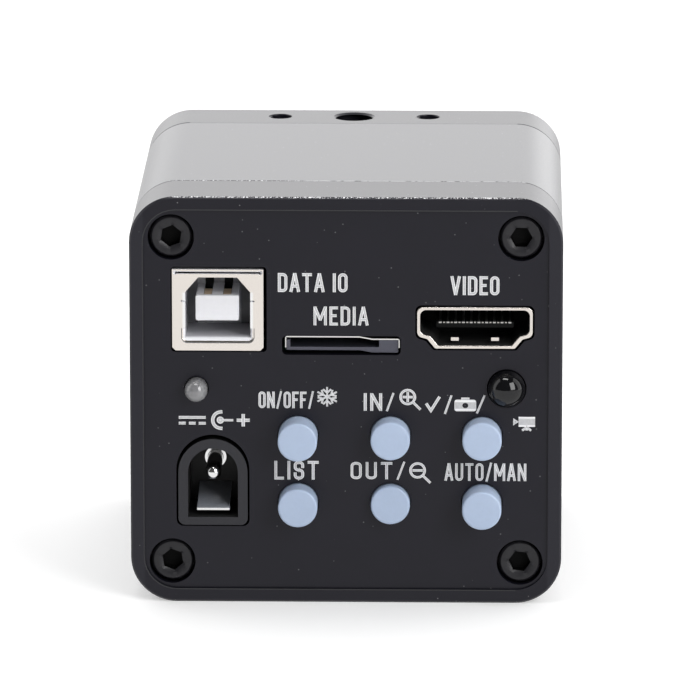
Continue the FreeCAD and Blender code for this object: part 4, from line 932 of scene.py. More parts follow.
def join(piece: bpy.types.Object, body: str, slot: str, *nodes: str) -> None:
    """Tie a piece to its body and hide the CAD nodes that it stands for.

    Args:
        piece: Finished piece.
        body: Body that it rides on.
        slot: Slot of the record that it takes its finish from; not used.
        nodes: CAD nodes that it stands for, if any.
    """
    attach(piece, body)
    if nodes:
        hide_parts(*nodes)


def metres(lengths: Sequence[float]) -> tuple[float, ...]:
    """Lengths given in millimetres, in metres."""
    return tuple(length * MM for length in lengths)


def node_box(node: str) -> tuple[Vector, Vector]:
    """Lowest and highest corner of a CAD node at rest, in millimetres."""
    low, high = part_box(node)
    return low / MM, high / MM


@dataclass(frozen=True)
class SoftenedNode:
    """Copy of a CAD node with its sharp edges rounded a little and shaded smooth.

    A zone is a depth behind the node's front and the look of the faces past it; these looks paint shade in
    the sockets and a highlight on a lip. With bright_fronts, the faces that look out of the panel keep the
    node's first look.
    """

    node: str
    look: Look
    slot: str
    edge: float = 0.05
    zones: tuple[tuple[float, Look], ...] = ()
    bright_fronts: bool = False
    steps: int = 2

    def build(self, frame: dict) -> bpy.types.Object:
        """Copy the node, round the copy's edges and let it stand for the node.

        Args:
            frame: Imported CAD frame.

        Returns:
            The softened copy.
        """
        piece = self.copy(frame)
        bevel = piece.modifiers.new("soft_edges", "BEVEL")
        bevel.harden_normals = True
        bevel.width = self.edge * MM
        bevel.segments = self.steps
        bevel.limit_method = "ANGLE"
        bevel.angle_limit = SHARP_ANGLE
        baked(piece)
        self.dress_inside(piece.data)
        join(piece, HOUSING, self.slot, self.node)
        return piece

    def copy(self, frame: dict) -> bpy.types.Object:
        """Copy of the node with its triangles merged to flat faces.

        Args:
            frame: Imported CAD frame.

        Returns:
            The copy.
        """
        source = frame["nodes"][self.node]
        mesh = source.data.copy()
        mesh.name = f"{self.node}_soft"
        shape = bmesh.new()
        shape.from_mesh(mesh)
        bmesh.ops.remove_doubles(shape, verts=shape.verts, dist=MERGE_DISTANCE)
        bmesh.ops.dissolve_limit(shape, angle_limit=FLAT_ANGLE, verts=shape.verts, edges=shape.edges)
        shape.to_mesh(mesh)
        shape.free()
        return smooth_object(f"{self.node}_soft", mesh, [self.look])

    def dress_inside(self, mesh: bpy.types.Mesh) -> None:
        """Give the faces behind the depth of each zone the zone's look, which paints shade or a highlight
        there.

        Args:
            mesh: Mesh of the softened copy.
        """
        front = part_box(self.node)[0].y
        for index, (depth, look) in enumerate(self.zones, 1):
            mesh.materials.append(look.material())
            for face in mesh.polygons:
                kept = self.bright_fronts and face.normal.y < FORWARD
                if face.center.y > front + depth * MM and not kept:
                    face.material_index = index


class GeometryRecipe:
    """Geometry node tree with named inputs that is baked to one mesh."""

    def __init__(self, name: str) -> None:
        """Start a tree that gives out one geometry.

        Args:
            name: Name of the tree.
        """
        self.name = name
        self.tree = bpy.data.node_groups.new(name, "GeometryNodeTree")
        self.tree.interface.new_socket("Geometry", in_out="OUTPUT", socket_type="NodeSocketGeometry")
        self.entry = self.tree.nodes.new("NodeGroupInput")
        self.exit = self.tree.nodes.new("NodeGroupOutput")
        self.values: dict[str, object] = {}

    def input(self, name: str, kind: str, value: object) -> bpy.types.NodeSocket:
        """Add a named input to the tree.

        Args:
            name: Name of the input.
            kind: Type of its socket.
            value: Value that it is given.

        Returns:
            The socket inside the tree.
        """
        item = self.tree.interface.new_socket(name, in_out="INPUT", socket_type=kind)
        self.values[item.identifier] = value
        return self.entry.outputs[name]

    def node(
        self, kind: str, inputs: dict | None = None, output: str | int = 0, **settings: object
    ) -> bpy.types.NodeSocket:
        """Add any node.

        Args:
            kind: Blender's name of the node type.
            inputs: Socket name or index to a socket to link or a constant to set.
            output: Name or index of the output to return.
            settings: Properties of the node.

        Returns:
            The chosen output.
        """
        node = self.tree.nodes.new(kind)
        for name, setting in settings.items():
            setattr(node, name, setting)
        for name, value in (inputs or {}).items():
            if isinstance(value, bpy.types.NodeSocket):
                self.tree.links.new(value, node.inputs[name])
            else:
                node.inputs[name].default_value = value
        return node.outputs[output]

    def bake(self, geometry: bpy.types.NodeSocket, look: Look) -> bpy.types.Object:
        """Realize the geometry in one look and make it a plain mesh object.

        Args:
            geometry: Output of the last node.
            look: Look of all its faces.

        Returns:
            The object, without modifiers.
        """
        real = self.node("GeometryNodeRealizeInstances", {"Geometry": geometry})
        painted = self.node("GeometryNodeSetMaterial", {"Geometry": real, "Material": look.material()})
        self.tree.links.new(painted, self.exit.inputs["Geometry"])
        holder = bpy.data.objects.new(self.name, bpy.data.meshes.new(self.name))
        bpy.context.scene.collection.objects.link(holder)
        modifier = holder.modifiers.new(self.name, "NODES")
        modifier.node_group = self.tree
        for identifier, value in self.values.items():
            modifier[identifier] = value
        return baked(holder)


# Stage


def aimed(name: str, data: bpy.types.ID, place: Place, target: Place) -> bpy.types.Object:
    """Add a lamp or camera that faces a target.

    Args:
        name: Name of the object.
        data: Lamp or lens.
        place: Where it stands, in millimetres.
        target: Point that it faces, in millimetres.

    Returns:
        The object.
    """
    made = bpy.data.objects.new(name, data)
    made.location = Vector(place) * MM
    made.rotation_euler = (Vector(target) - Vector(place)).to_track_quat("-Z", "Y").to_euler()
    bpy.context.scene.collection.objects.link(made)
    return made


@dataclass(frozen=True)
class SoftBox:
    """Soft rectangular lamp."""

    name: str
    place: Place
    size: tuple[float, float]
    watts: float

    def build(self, target: Place) -> None:
        """Add the lamp.

        Args:
            target: Point that it faces.
        """
        lamp = bpy.data.lights.new(self.name, "AREA")
        lamp.shape = "RECTANGLE"
        lamp.size = self.size[0] * MM
        lamp.size_y = self.size[1] * MM
        lamp.energy = self.watts
        aimed(self.name, lamp, self.place, target)


@dataclass
class Studio:
    """White floor, white surroundings for the camera, and soft lamps."""

    floor_size: float = 6000.0
    floor_level: float = -27.0
    floor_colour: Colour = (0.7, 0.7, 0.7)
    floor_lift: float = 0.34
    floor_mirrored: float = 0.95
    backdrop: float = 1.5
    behind: Span = (20.0, 120.0)
    horizon: Span = (-0.05, 0.35)
    room: float = 0.08
    lamp_target: Place = (0.0, -40.0, 0.0)
    lamps: tuple[SoftBox, ...] = (
        SoftBox("soft_box_front_right", (357.0, -470.0, 256.0), (290.0, 450.0), 2.4),
        SoftBox("soft_box_top", (-39.0, -189.0, 503.0), (240.0, 80.0), 0.5),
        SoftBox("soft_box_left", (-520.0, 40.0, 200.0), (620.0, 830.0), 1.9),
        SoftBox("soft_box_right", (520.0, 60.0, 200.0), (620.0, 830.0), 1.9),
        SoftBox("soft_box_behind", (0.0, 520.0, 230.0), (900.0, 420.0), 1.2),
        SoftBox("soft_box_behind_right", (170.0, 500.0, 45.0), (160.0, 140.0), 0.05),
    )
    camera_place: Place = (20.03, -975.82, 226.79)
    camera_target: Place = (0.523, -60.0, 6.834)
    focal_length: float = 374.8
    sensor_width: float = 36.0
    clip: Span = (10.0, 100000.0)

    def build(self) -> None:
        """Add the floor, world, lamps and camera."""
        self.make_floor()
        self.make_world()
        for lamp in self.lamps:
            lamp.build(self.lamp_target)
        self.make_camera()

    def make_floor(self) -> None:
        """Pale floor that reads white to the camera except in the object's shadow."""
        half = self.floor_size / 2 * MM
        level = self.floor_level * MM
        mesh = bpy.data.meshes.new("floor")
        corners = [(x * half, y * half, level) for x, y in ((-1, -1), (1, -1), (1, 1), (-1, 1))]
        mesh.from_pydata(corners, [], [(0, 1, 2, 3)])
        floor = bpy.data.objects.new("floor", mesh)
        bpy.context.scene.collection.objects.link(floor)
        material = bpy.data.materials.new("floor")
        material.use_nodes = True
        graph = Graph(material.node_tree)
        seen = graph.node("ShaderNodeLightPath", output="Is Camera Ray")
        mirrored = graph.node("ShaderNodeLightPath", output="Is Glossy Ray")
        paper = graph.node("ShaderNodeBsdfDiffuse", {"Color": rgba(self.floor_colour)})
        lifted = graph.node("ShaderNodeAddShader", {0: paper, 1: graph.emission((self.floor_lift,) * 3)})
        shown = graph.mix_shader(seen, paper, lifted)
        rear = graph.step(graph.axis("Y"), self.behind)
        image = graph.blend(rear, (self.floor_mirrored,) * 3, (self.backdrop,) * 3)
        graph.finish(graph.mix_shader(mirrored, shown, graph.emission(image)))
        mesh.materials.append(material)
        floor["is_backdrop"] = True

    def make_world(self) -> None:
        """White to the camera; a bright backdrop behind the object and a dark room in front of it."""
        world = bpy.data.worlds.new("studio")
        bpy.context.scene.world = world
        world.use_nodes = True
        graph = Graph(world.node_tree)
        seen = graph.node("ShaderNodeLightPath", output="Is Camera Ray")
        direction = graph.node("ShaderNodeTexCoord", output="Generated")
        depth = graph.node("ShaderNodeSeparateXYZ", {"Vector": direction}, output="Y")
        level = graph.ramp(depth, *self.horizon) * self.backdrop | self.room
        strength = seen + (1 - seen) * level
        graph.finish(
            graph.node("ShaderNodeBackground", {"Color": (1.0, 1.0, 1.0, 1.0), "Strength": strength}),
            "ShaderNodeOutputWorld",
        )

    def make_camera(self) -> None:
        """Camera in the photograph's place."""
        lens = bpy.data.cameras.new("camera")
        lens.lens = self.focal_length
        lens.sensor_width = self.sensor_width
        lens.clip_start = self.clip[0] * MM
        lens.clip_end = self.clip[1] * MM
        camera = aimed("camera", lens, self.camera_place, self.camera_target)
        bpy.context.scene.camera = camera
        bpy.context.scene.view_settings.view_transform = "Standard"


# Housing


@dataclass
class Housing:
    """Anodised covers and tube, with worn edges where they meet and round the panel."""

    edge: float = 0.09
    worn_width: float = 0.3
    worn_tilt: Span = (0.2, 0.97)
    worn_reach: float = 2.4
    rim: float = 1.8
    rim_line: float = 0.14
    rim_proud: float = 0.004
    corner_radius: float = 6.0
    flat_half: float = 22.1
    seam_chamfer: float = 0.12
    seam_bite: float = 0.01
    seam_sunk: float = 0.002

    def build(self, frame: dict) -> None:
        """Soften the three pieces and mark their chamfers as worn.

        Args:
            frame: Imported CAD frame.
        """
        rear_seam, front_seam = (corner.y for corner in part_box("body_tube"))
        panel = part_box("back_cover")[0].y
        lens_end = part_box("front_cover")[1].y
        for node, look, ends, rear, front in (
            ("back_cover", Look.BLACK_ANODISED, (panel, rear_seam), Look.WORN_EDGE, Look.BLACK_ANODISED),
            ("body_tube", Look.TUBE_ANODISED, (rear_seam, front_seam), Look.WORN_SEAM, Look.TUBE_ANODISED),
            ("front_cover", Look.FRONT_ANODISED, (front_seam, lens_end), Look.FRONT_ANODISED, Look.WORN_EDGE),
        ):
            piece = SoftenedNode(node, look, "black_anodised", self.edge).build(frame)
            self.dress(piece, ends, rear, front)
        self.edge_recess()
        self.close_seam()

    def close_seam(self) -> None:
        """Fill the joint of the tube and the front cover along the flat top, where it doesn't show."""
        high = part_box("body_tube")[1] / MM
        reach = self.seam_chamfer + self.seam_bite
        section = ((-reach, -self.seam_sunk), (reach, -self.seam_sunk), (0.0, -reach))
        builder = MeshBuilder()
        ends = (-self.flat_half, self.flat_half)
        builder.loft([[Vector((x, high.y + y, high.z + z)) for y, z in section] for x in ends])
        join(builder.make("front_seam_fill", Look.TUBE_ANODISED), HOUSING, "black_anodised")

    def edge_recess(self) -> None:
        """Add a lighter line along the edge of the panel's recess, on its foot, left side and head: a painted
        highlight where the edge catches the light, partly also wear.
        """
        low, high = node_box("back_cover")
        inset = self.rim - self.rim_line / 2
        left, right, foot, head = low.x + inset, high.x - inset, low.z + inset, high.z - inset
        radius = self.corner_radius - inset
        stop = right - radius
        corners = ((stop, foot, 0.0), (left, foot, radius), (left, head, radius), (stop, head, 0.0))
        builder = MeshBuilder()
        y = (low.y - self.rim_proud, low.y + self.rim_proud)
        builder.ribbon(rounded(corners, False), False, self.rim_line, y)
        join(builder.make("panel_recess_edge", Look.RECESS_EDGE), HOUSING, "black_anodised")

    def dress(self, piece: bpy.types.Object, ends: Span, rear: Look, front: Look) -> None:
        """Give the outer chamfers at both ends their worn finishes.

        Args:
            piece: Softened cover or tube.
            ends: Stations of its rear and front end, in metres.
            rear: Finish of the rear chamfer.
            front: Finish of the front chamfer.
        """
        mesh = piece.data
        mesh.materials.append(rear.material())
        mesh.materials.append(front.material())
        low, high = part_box("body_tube")
        for face in mesh.polygons:
            from_ends = [abs(face.center.y - end) for end in ends]
            from_side = min(
                face.center.x - low.x, high.x - face.center.x, face.center.z - low.z, high.z - face.center.z
            )
            tilted = self.worn_tilt[0] < abs(face.normal.y) < self.worn_tilt[1]
            at_end = min(from_ends) < self.worn_width * MM
            if tilted and at_end and from_side < self.worn_reach * MM:
                face.material_index = 1 if from_ends[0] < from_ends[1] else 2


# Screws, buttons, lamps and contact ends


@dataclass
class CapScrews:
    """Socket head screws in the four corners of a cover, set out by a geometry node pattern."""

    node: str
    outward: int
    head_radius: float = 2.75
    head_height: float = 3.0
    chamfer: float = 0.3
    socket_flats: float = 2.5
    socket_depth: float = 1.6
    socket_chamfer: float = 0.25
    socket_mouth_radius: float = 1.72
    spin: Span = (0.1, 0.95)
    seed: int = 4
    shank_radius: float = 1.5
    seat_round: float = 0.05
    side_round: float = 0.15
    top_round: float = 0.12
    socket_sides: int = 6
    segments: int = 72

    def build(self) -> None:
        """Make one screw and repeat it at the corners."""
        low, high = node_box(self.node)
        pattern = Vector((high.x - low.x - 2 * self.head_radius, 0.0, high.z - low.z - 2 * self.head_radius))
        middle = (low + high) / 2
        top = low.y if self.outward < 0 else high.y
        tip = high.y if self.outward < 0 else low.y
        screw = self.make_screw(top, tip)
        recipe = GeometryRecipe(f"{self.node}_set")
        grid = recipe.node(
            "GeometryNodeMeshGrid",
            {
                "Size X": recipe.input("Width", "NodeSocketFloat", pattern.x * MM),
                "Size Y": recipe.input("Height", "NodeSocketFloat", pattern.z * MM),
                "Vertices X": 2,
                "Vertices Y": 2,
            },
        )
        upright = recipe.node(
            "GeometryNodeTransform",
            {
                "Geometry": grid,
                "Translation": (middle.x * MM, 0.0, middle.z * MM),
                "Rotation": (math.pi / 2, 0.0, 0.0),
            },
        )
        shape = recipe.node(
            "GeometryNodeObjectInfo",
            {"Object": recipe.input("Screw", "NodeSocketObject", screw)},
            output="Geometry",
        )
        spin = recipe.node(
            "FunctionNodeRandomValue",
            {
                0: (0.0, self.spin[0], 0.0),
                1: (0.0, self.spin[1], 0.0),
                "Seed": recipe.input("Seed", "NodeSocketInt", self.seed),
            },
            data_type="FLOAT_VECTOR",
        )
        copies = recipe.node(
            "GeometryNodeInstanceOnPoints", {"Points": upright, "Instance": shape, "Rotation": spin}
        )
        piece = recipe.bake(copies, Look.BLACK_STEEL)
        bpy.data.objects.remove(screw)
        # Painted shade in the hex socket, past its chamfer
        piece.data.materials.append(Look.BLACK_SOCKET.material())
        for face in piece.data.polygons:
            if (top - face.center.y / MM) * self.outward > self.socket_chamfer:
                face.material_index = 1
        join(piece, HOUSING, "black_steel", self.node)

    def make_screw(self, top: float, tip: float) -> bpy.types.Object:
        """One screw on the axis.

        Args:
            top: Station of the top of its head.
            tip: Station of its tip.

        Returns:
            The screw.
        """
        seat = top - self.outward * self.head_height
        count = self.segments
        centre = (0.0, 0.0)
        profile = rounded(
            [
                (self.shank_radius, tip, 0.0),
                (self.shank_radius, seat, 0.0),
                (self.head_radius, seat, self.seat_round),
                (self.head_radius, top - self.outward * self.chamfer, self.side_round),
                (self.head_radius - self.chamfer, top, self.top_round),
                (self.socket_mouth_radius, top, 0.0),
            ],
            False,
        )
        rings = [circle(radius, y, centre, count) for radius, y in profile]
        for depth in (self.socket_chamfer, self.socket_depth):
            y = top - self.outward * depth
            rings.append(polygon_ring(self.socket_sides, self.socket_flats, y, centre, count))
        builder = MeshBuilder()
        builder.loft(rings)
        return builder.make(f"{self.node}_one", Look.BLACK_STEEL)


@dataclass
class PushButton:
    """Round button cap with a softened face."""

    name: str
    edge_radius: float = 0.28
    foot_radius: float = 0.1
    dish: float = 0.03
    dish_reach: float = 0.45
    dish_share: float = 0.5
    bore_radius: float = 1.77
    face_thickness: float = 2.4

    def build(self) -> None:
        """Make the cap over its CAD node."""
        node = f"{self.name}_button_cap"
        low, high = node_box(node)
        centre = ((low.x + high.x) / 2, (low.z + high.z) / 2)
        radius = (high.x - low.x) / 2
        profile = rounded(
            [
                (AXIS_RADIUS, low.y + self.dish, 0.0),
                (radius * self.dish_reach, low.y + self.dish * self.dish_share, 0.0),
                (radius, low.y, self.edge_radius),
                (radius, high.y, self.foot_radius),
                (self.bore_radius, high.y, self.foot_radius),
                (self.bore_radius, low.y + self.face_thickness, 0.0),
                (AXIS_RADIUS, low.y + self.face_thickness, 0.0),
            ],
            False,
        )
        builder = MeshBuilder()
        builder.turn(profile, centre)
        piece = builder.make(f"{self.name}_button", Look.BUTTON_BLUE)
        join(piece, f"{self.name}_button", "button_blue", node)


@dataclass
class Lamp:
    """Resin dome on a barrel with a flange, as on the indicator light and the remote receiver."""

    node: str
    look: Look
    slot: str
    flange_thickness: float = 1.0
    flange_step: float = 0.35
    dome_steps: int = 24
    barrel_inset: float = 0.0

    def build(self) -> None:
        """Make the lamp over its CAD node."""
        low, high = node_box(self.node)
        centre = ((low.x + high.x) / 2, (low.z + high.z) / 2)
        flange_radius = (high.x - low.x) / 2
        radius = flange_radius - self.flange_step - self.barrel_inset
        profile: list[Point] = []
        for step in range(1, self.dome_steps + 1):
            turn = math.pi / 2 * step / self.dome_steps
            profile.append((radius * math.sin(turn), low.y + radius * (1 - math.cos(turn))))
        flange_start = high.y - self.flange_thickness
        profile += [
            (radius, flange_start),
            (flange_radius, flange_start),
            (flange_radius, high.y),
            (AXIS_RADIUS, high.y),
        ]
        builder = MeshBuilder()
        builder.turn(profile, centre)
        piece = builder.make(f"{self.node}_dome", self.look)
        join(piece, HOUSING, self.slot, self.node)


@dataclass
class ContactTips:
    """Ends of both rows of contacts along the front edge of the video socket's tongue."""

    count: int = 19
    pitch: float = 0.5
    size: tuple[float, float, float] = (0.25, 0.1, 0.16)
    proud: float = 0.02

    def build(self) -> None:
        """Set out the ends in a row by geometry nodes."""
        low, high = node_box("video_port_contacts")
        start = (
            (low.x + high.x - (self.count - 1) * self.pitch) / 2,
            low.y - self.proud + self.size[1] / 2,
            high.z - self.size[2] / 2,
        )
        recipe = GeometryRecipe("video_contact_tips")
        row = recipe.node(
            "GeometryNodeMeshLine",
            {
                "Count": recipe.input("Count", "NodeSocketInt", self.count),
                "Start Location": metres(start),
                "Offset": (self.pitch * MM, 0.0, 0.0),
            },
        )
        tip = recipe.node("GeometryNodeMeshCube", {"Size": metres(self.size)})
        copies = recipe.node("GeometryNodeInstanceOnPoints", {"Points": row, "Instance": tip})
        join(recipe.bake(copies, Look.TIP_TIN), HOUSING, "contact_tin")


@dataclass
class TabLips:
    """Turned-down ends of the two spring tabs that rise from the floor of the video socket's shell."""

    sheet: float = 0.4
    offset: float = 2.6
    width: float = 1.0
    setback: float = 1.2
    tab_height: float = 0.85
    lip_height: float = 0.44
    thickness: float = 0.05

    def build(self) -> None:
        """Set both lips against the ends of their tabs."""
        low, high = node_box("video_port_shell")
        middle = (low.x + high.x) / 2
        height = low.z + self.sheet + self.tab_height - self.lip_height / 2
        end = low.y + self.setback
        reach = (self.width - self.lip_height) / 2
        builder = MeshBuilder()
        for side in (-1, 1):
            x = middle + side * self.offset
            path = [(x - reach, height), (x + reach, height)]
            builder.ribbon(path, False, self.lip_height, (end - self.thickness, end))
        join(builder.make("video_tab_lips", Look.SOCKET_STEEL), HOUSING, "socket_steel")


# Threads


@dataclass
class TripodMouth:
    """First crest of the tripod thread, level with the top, which narrows the mouth of its hole."""

    hole_radius: float = 3.3
    mouth_radius: float = 2.85
    crest_radius: float = 2.5
    crest_depth: float = 0.24
    depth: float = 0.7
    sunk: float = 0.01

    def build(self) -> None:
        """Turn the crest and set it upright in the hole."""
        rear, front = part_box("body_tube")[1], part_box("front_cover")[1]
        profile = (
            (self.crest_radius, -self.crest_depth),
            (self.mouth_radius, -self.sunk),
            (self.hole_radius, -self.sunk),
            (self.hole_radius, -self.depth),
        )
        builder = MeshBuilder()
        builder.loft([circle(radius, y, (0.0, 0.0)) for radius, y in profile], looped=True)
        piece = builder.make("tripod_thread_mouth", Look.FRONT_ANODISED)
        middle = Vector((0.0, (rear.y + front.y) / 2, front.z))
        piece.data.transform(Matrix.Translation(middle) @ Matrix.Rotation(math.pi / 2, 4, "X"))
        join(piece, HOUSING, "black_anodised")


@dataclass(frozen=True)
class Thread:
    """Helical ridge inside a bore, swept by geometry nodes."""

    name: str
    radius: float
    pitch: float
    length: float
    start: Place
    look: Look = Look.BLACK_ANODISED
    slot: str = "black_anodised"
    tilt: Tilt = (0.0, 0.0, 0.0)
    per_turn: int = 64
    ridge_share: float = 0.45
    ridge_sides: int = 4

    def build(self) -> None:
        """Sweep a four-sided ridge, half of it sunk in the bore's wall, along the helix."""
        turns = self.length / self.pitch
        ridge = self.pitch * self.ridge_share
        recipe = GeometryRecipe(self.name)
        helix = recipe.node(
            "GeometryNodeCurveSpiral",
            {
                "Resolution": self.per_turn,
                "Rotations": recipe.input("Turns", "NodeSocketFloat", turns),
                "Start Radius": recipe.input("Radius", "NodeSocketFloat", self.radius * MM),
                "End Radius": recipe.entry.outputs["Radius"],
                "Height": recipe.input("Length", "NodeSocketFloat", self.length * MM),
            },
        )
        section = recipe.node(
            "GeometryNodeCurvePrimitiveCircle",
            {"Resolution": self.ridge_sides, "Radius": recipe.input("Ridge", "NodeSocketFloat", ridge * MM)},
        )
        swept = recipe.node(
            "GeometryNodeCurveToMesh", {"Curve": helix, "Profile Curve": section, "Fill Caps": True}
        )
        placed = recipe.node(
            "GeometryNodeTransform",
            {"Geometry": swept, "Translation": metres(self.start), "Rotation": self.tilt},
        )
        join(recipe.bake(placed, self.look), HOUSING, self.slot)


@dataclass
class Threads:
    """Thread ridges of the lens mount and of the three holes in the top."""

    lens_radius: float = 12.7
    lens_pitch: float = INCH / 32
    lens_margin: float = 0.5
    lens_tilt: Tilt = (-math.pi / 2, 0.0, 0.0)
    lens_steps: int = 96
    tripod_radius: float = 3.175
    tripod_pitch: float = INCH / 20
    tripod_length: float = 6.6
    tripod_depth: float = 7.7
    accessory_radius: float = 1.5
    accessory_pitch: float = 0.5
    accessory_length: float = 5.3
    accessory_depth: float = 5.6
    accessory_reach: float = 10.0
    accessory_steps: int = 40

    def build(self) -> None:
        """Add every ridge in its bore."""
        low, high = node_box("lens_ring")
        cover = node_box("front_cover")[1]
        middle = (node_box("body_tube")[1].y + cover.y) / 2
        Thread(
            "lens_thread",
            self.lens_radius,
            self.lens_pitch,
            high.y - low.y - 2 * self.lens_margin,
            (0.0, low.y + self.lens_margin, 0.0),
            Look.RING_STEEL,
            "ring_steel",
            self.lens_tilt,
            self.lens_steps,
        ).build()
        Thread(
            "tripod_thread",
            self.tripod_radius,
            self.tripod_pitch,
            self.tripod_length,
            (0.0, middle, cover.z - self.tripod_depth),
        ).build()
        for name, side in (("left", -1), ("right", 1)):
            Thread(
                f"accessory_thread_{name}",
                self.accessory_radius,
                self.accessory_pitch,
                self.accessory_length,
                (side * self.accessory_reach, middle, cover.z - self.accessory_depth),
                per_turn=self.accessory_steps,
            ).build()


# Legends


@dataclass(frozen=True)
class Stroke:
    """Path of one engraved line; lengths are shares of the letter height."""

    corners: tuple[Corner, ...]
    closed: bool = False
    width: float = 0.0


def line(*points: Point, width: float = 0.0) -> Stroke:
    """Open stroke with sharp corners."""
    return Stroke(tuple((u, v, 0.0) for u, v in points), width=width)


def on_circle(u: float, v: float, radius: float, turns: Iterable[float]) -> tuple[Corner, ...]:
    """Sharp corners on a circle at the given turns, in radians."""
    return tuple((u + radius * math.cos(turn), v + radius * math.sin(turn), 0.0) for turn in turns)


def half_ring(u: float, v: float, radius: float, count: int = 16) -> Stroke:
    """Open half round stroke, round to the left."""
    turns = (math.pi * (0.5 + index / count) for index in range(count + 1))
    return Stroke(on_circle(u, v, radius, turns))


def ring(u: float, v: float, radius: float, width: float = 0.0, count: int = 20) -> Stroke:
    """Closed round stroke."""
    turns = (2 * math.pi * index / count for index in range(count))
    return Stroke(on_circle(u, v, radius, turns), True, width)


def flake(
    arms: int = 6, reach: float = 0.5, fork: float = 0.22, outer: float = 0.42, spread: float = 0.4
) -> tuple[Stroke, ...]:
    """Snow flake whose arms have two branches each.

    Args:
        arms: Number of arms.
        reach: Length of an arm.
        fork: Distance from the middle to where the branches leave an arm.
        outer: Distance from the middle to the ends of the branches.
        spread: Angle between an arm and the ends of its branches, in radians.

    Returns:
        The strokes.
    """
    middle = (0.5, 0.5)
    strokes = []
    for index in range(arms):
        turn = math.pi / 2 + 2 * math.pi * index / arms
        tip, foot, *ends = (
            (middle[0] + far * math.cos(turn + aside), middle[1] + far * math.sin(turn + aside))
            for far, aside in ((reach, 0.0), (fork, 0.0), (outer, spread), (outer, -spread))
        )
        strokes.append(line(middle, tip))
        strokes += [line(foot, end) for end in ends]
    return tuple(strokes)


def frame_stroke(u: float, v: float, width: float, height: float, radius: float) -> Stroke:
    """Closed rectangle with rounded corners, from its lower left corner."""
    corners = ((u, v), (u + width, v), (u + width, v + height), (u, v + height))
    return Stroke(tuple((*corner, radius) for corner in corners), True)


@dataclass(frozen=True)
class Glyph:
    """Letter or sign: its width and strokes as shares of the letter height."""

    width: float
    strokes: tuple[Stroke, ...]
    gaps: tuple[Stroke, ...] = ()


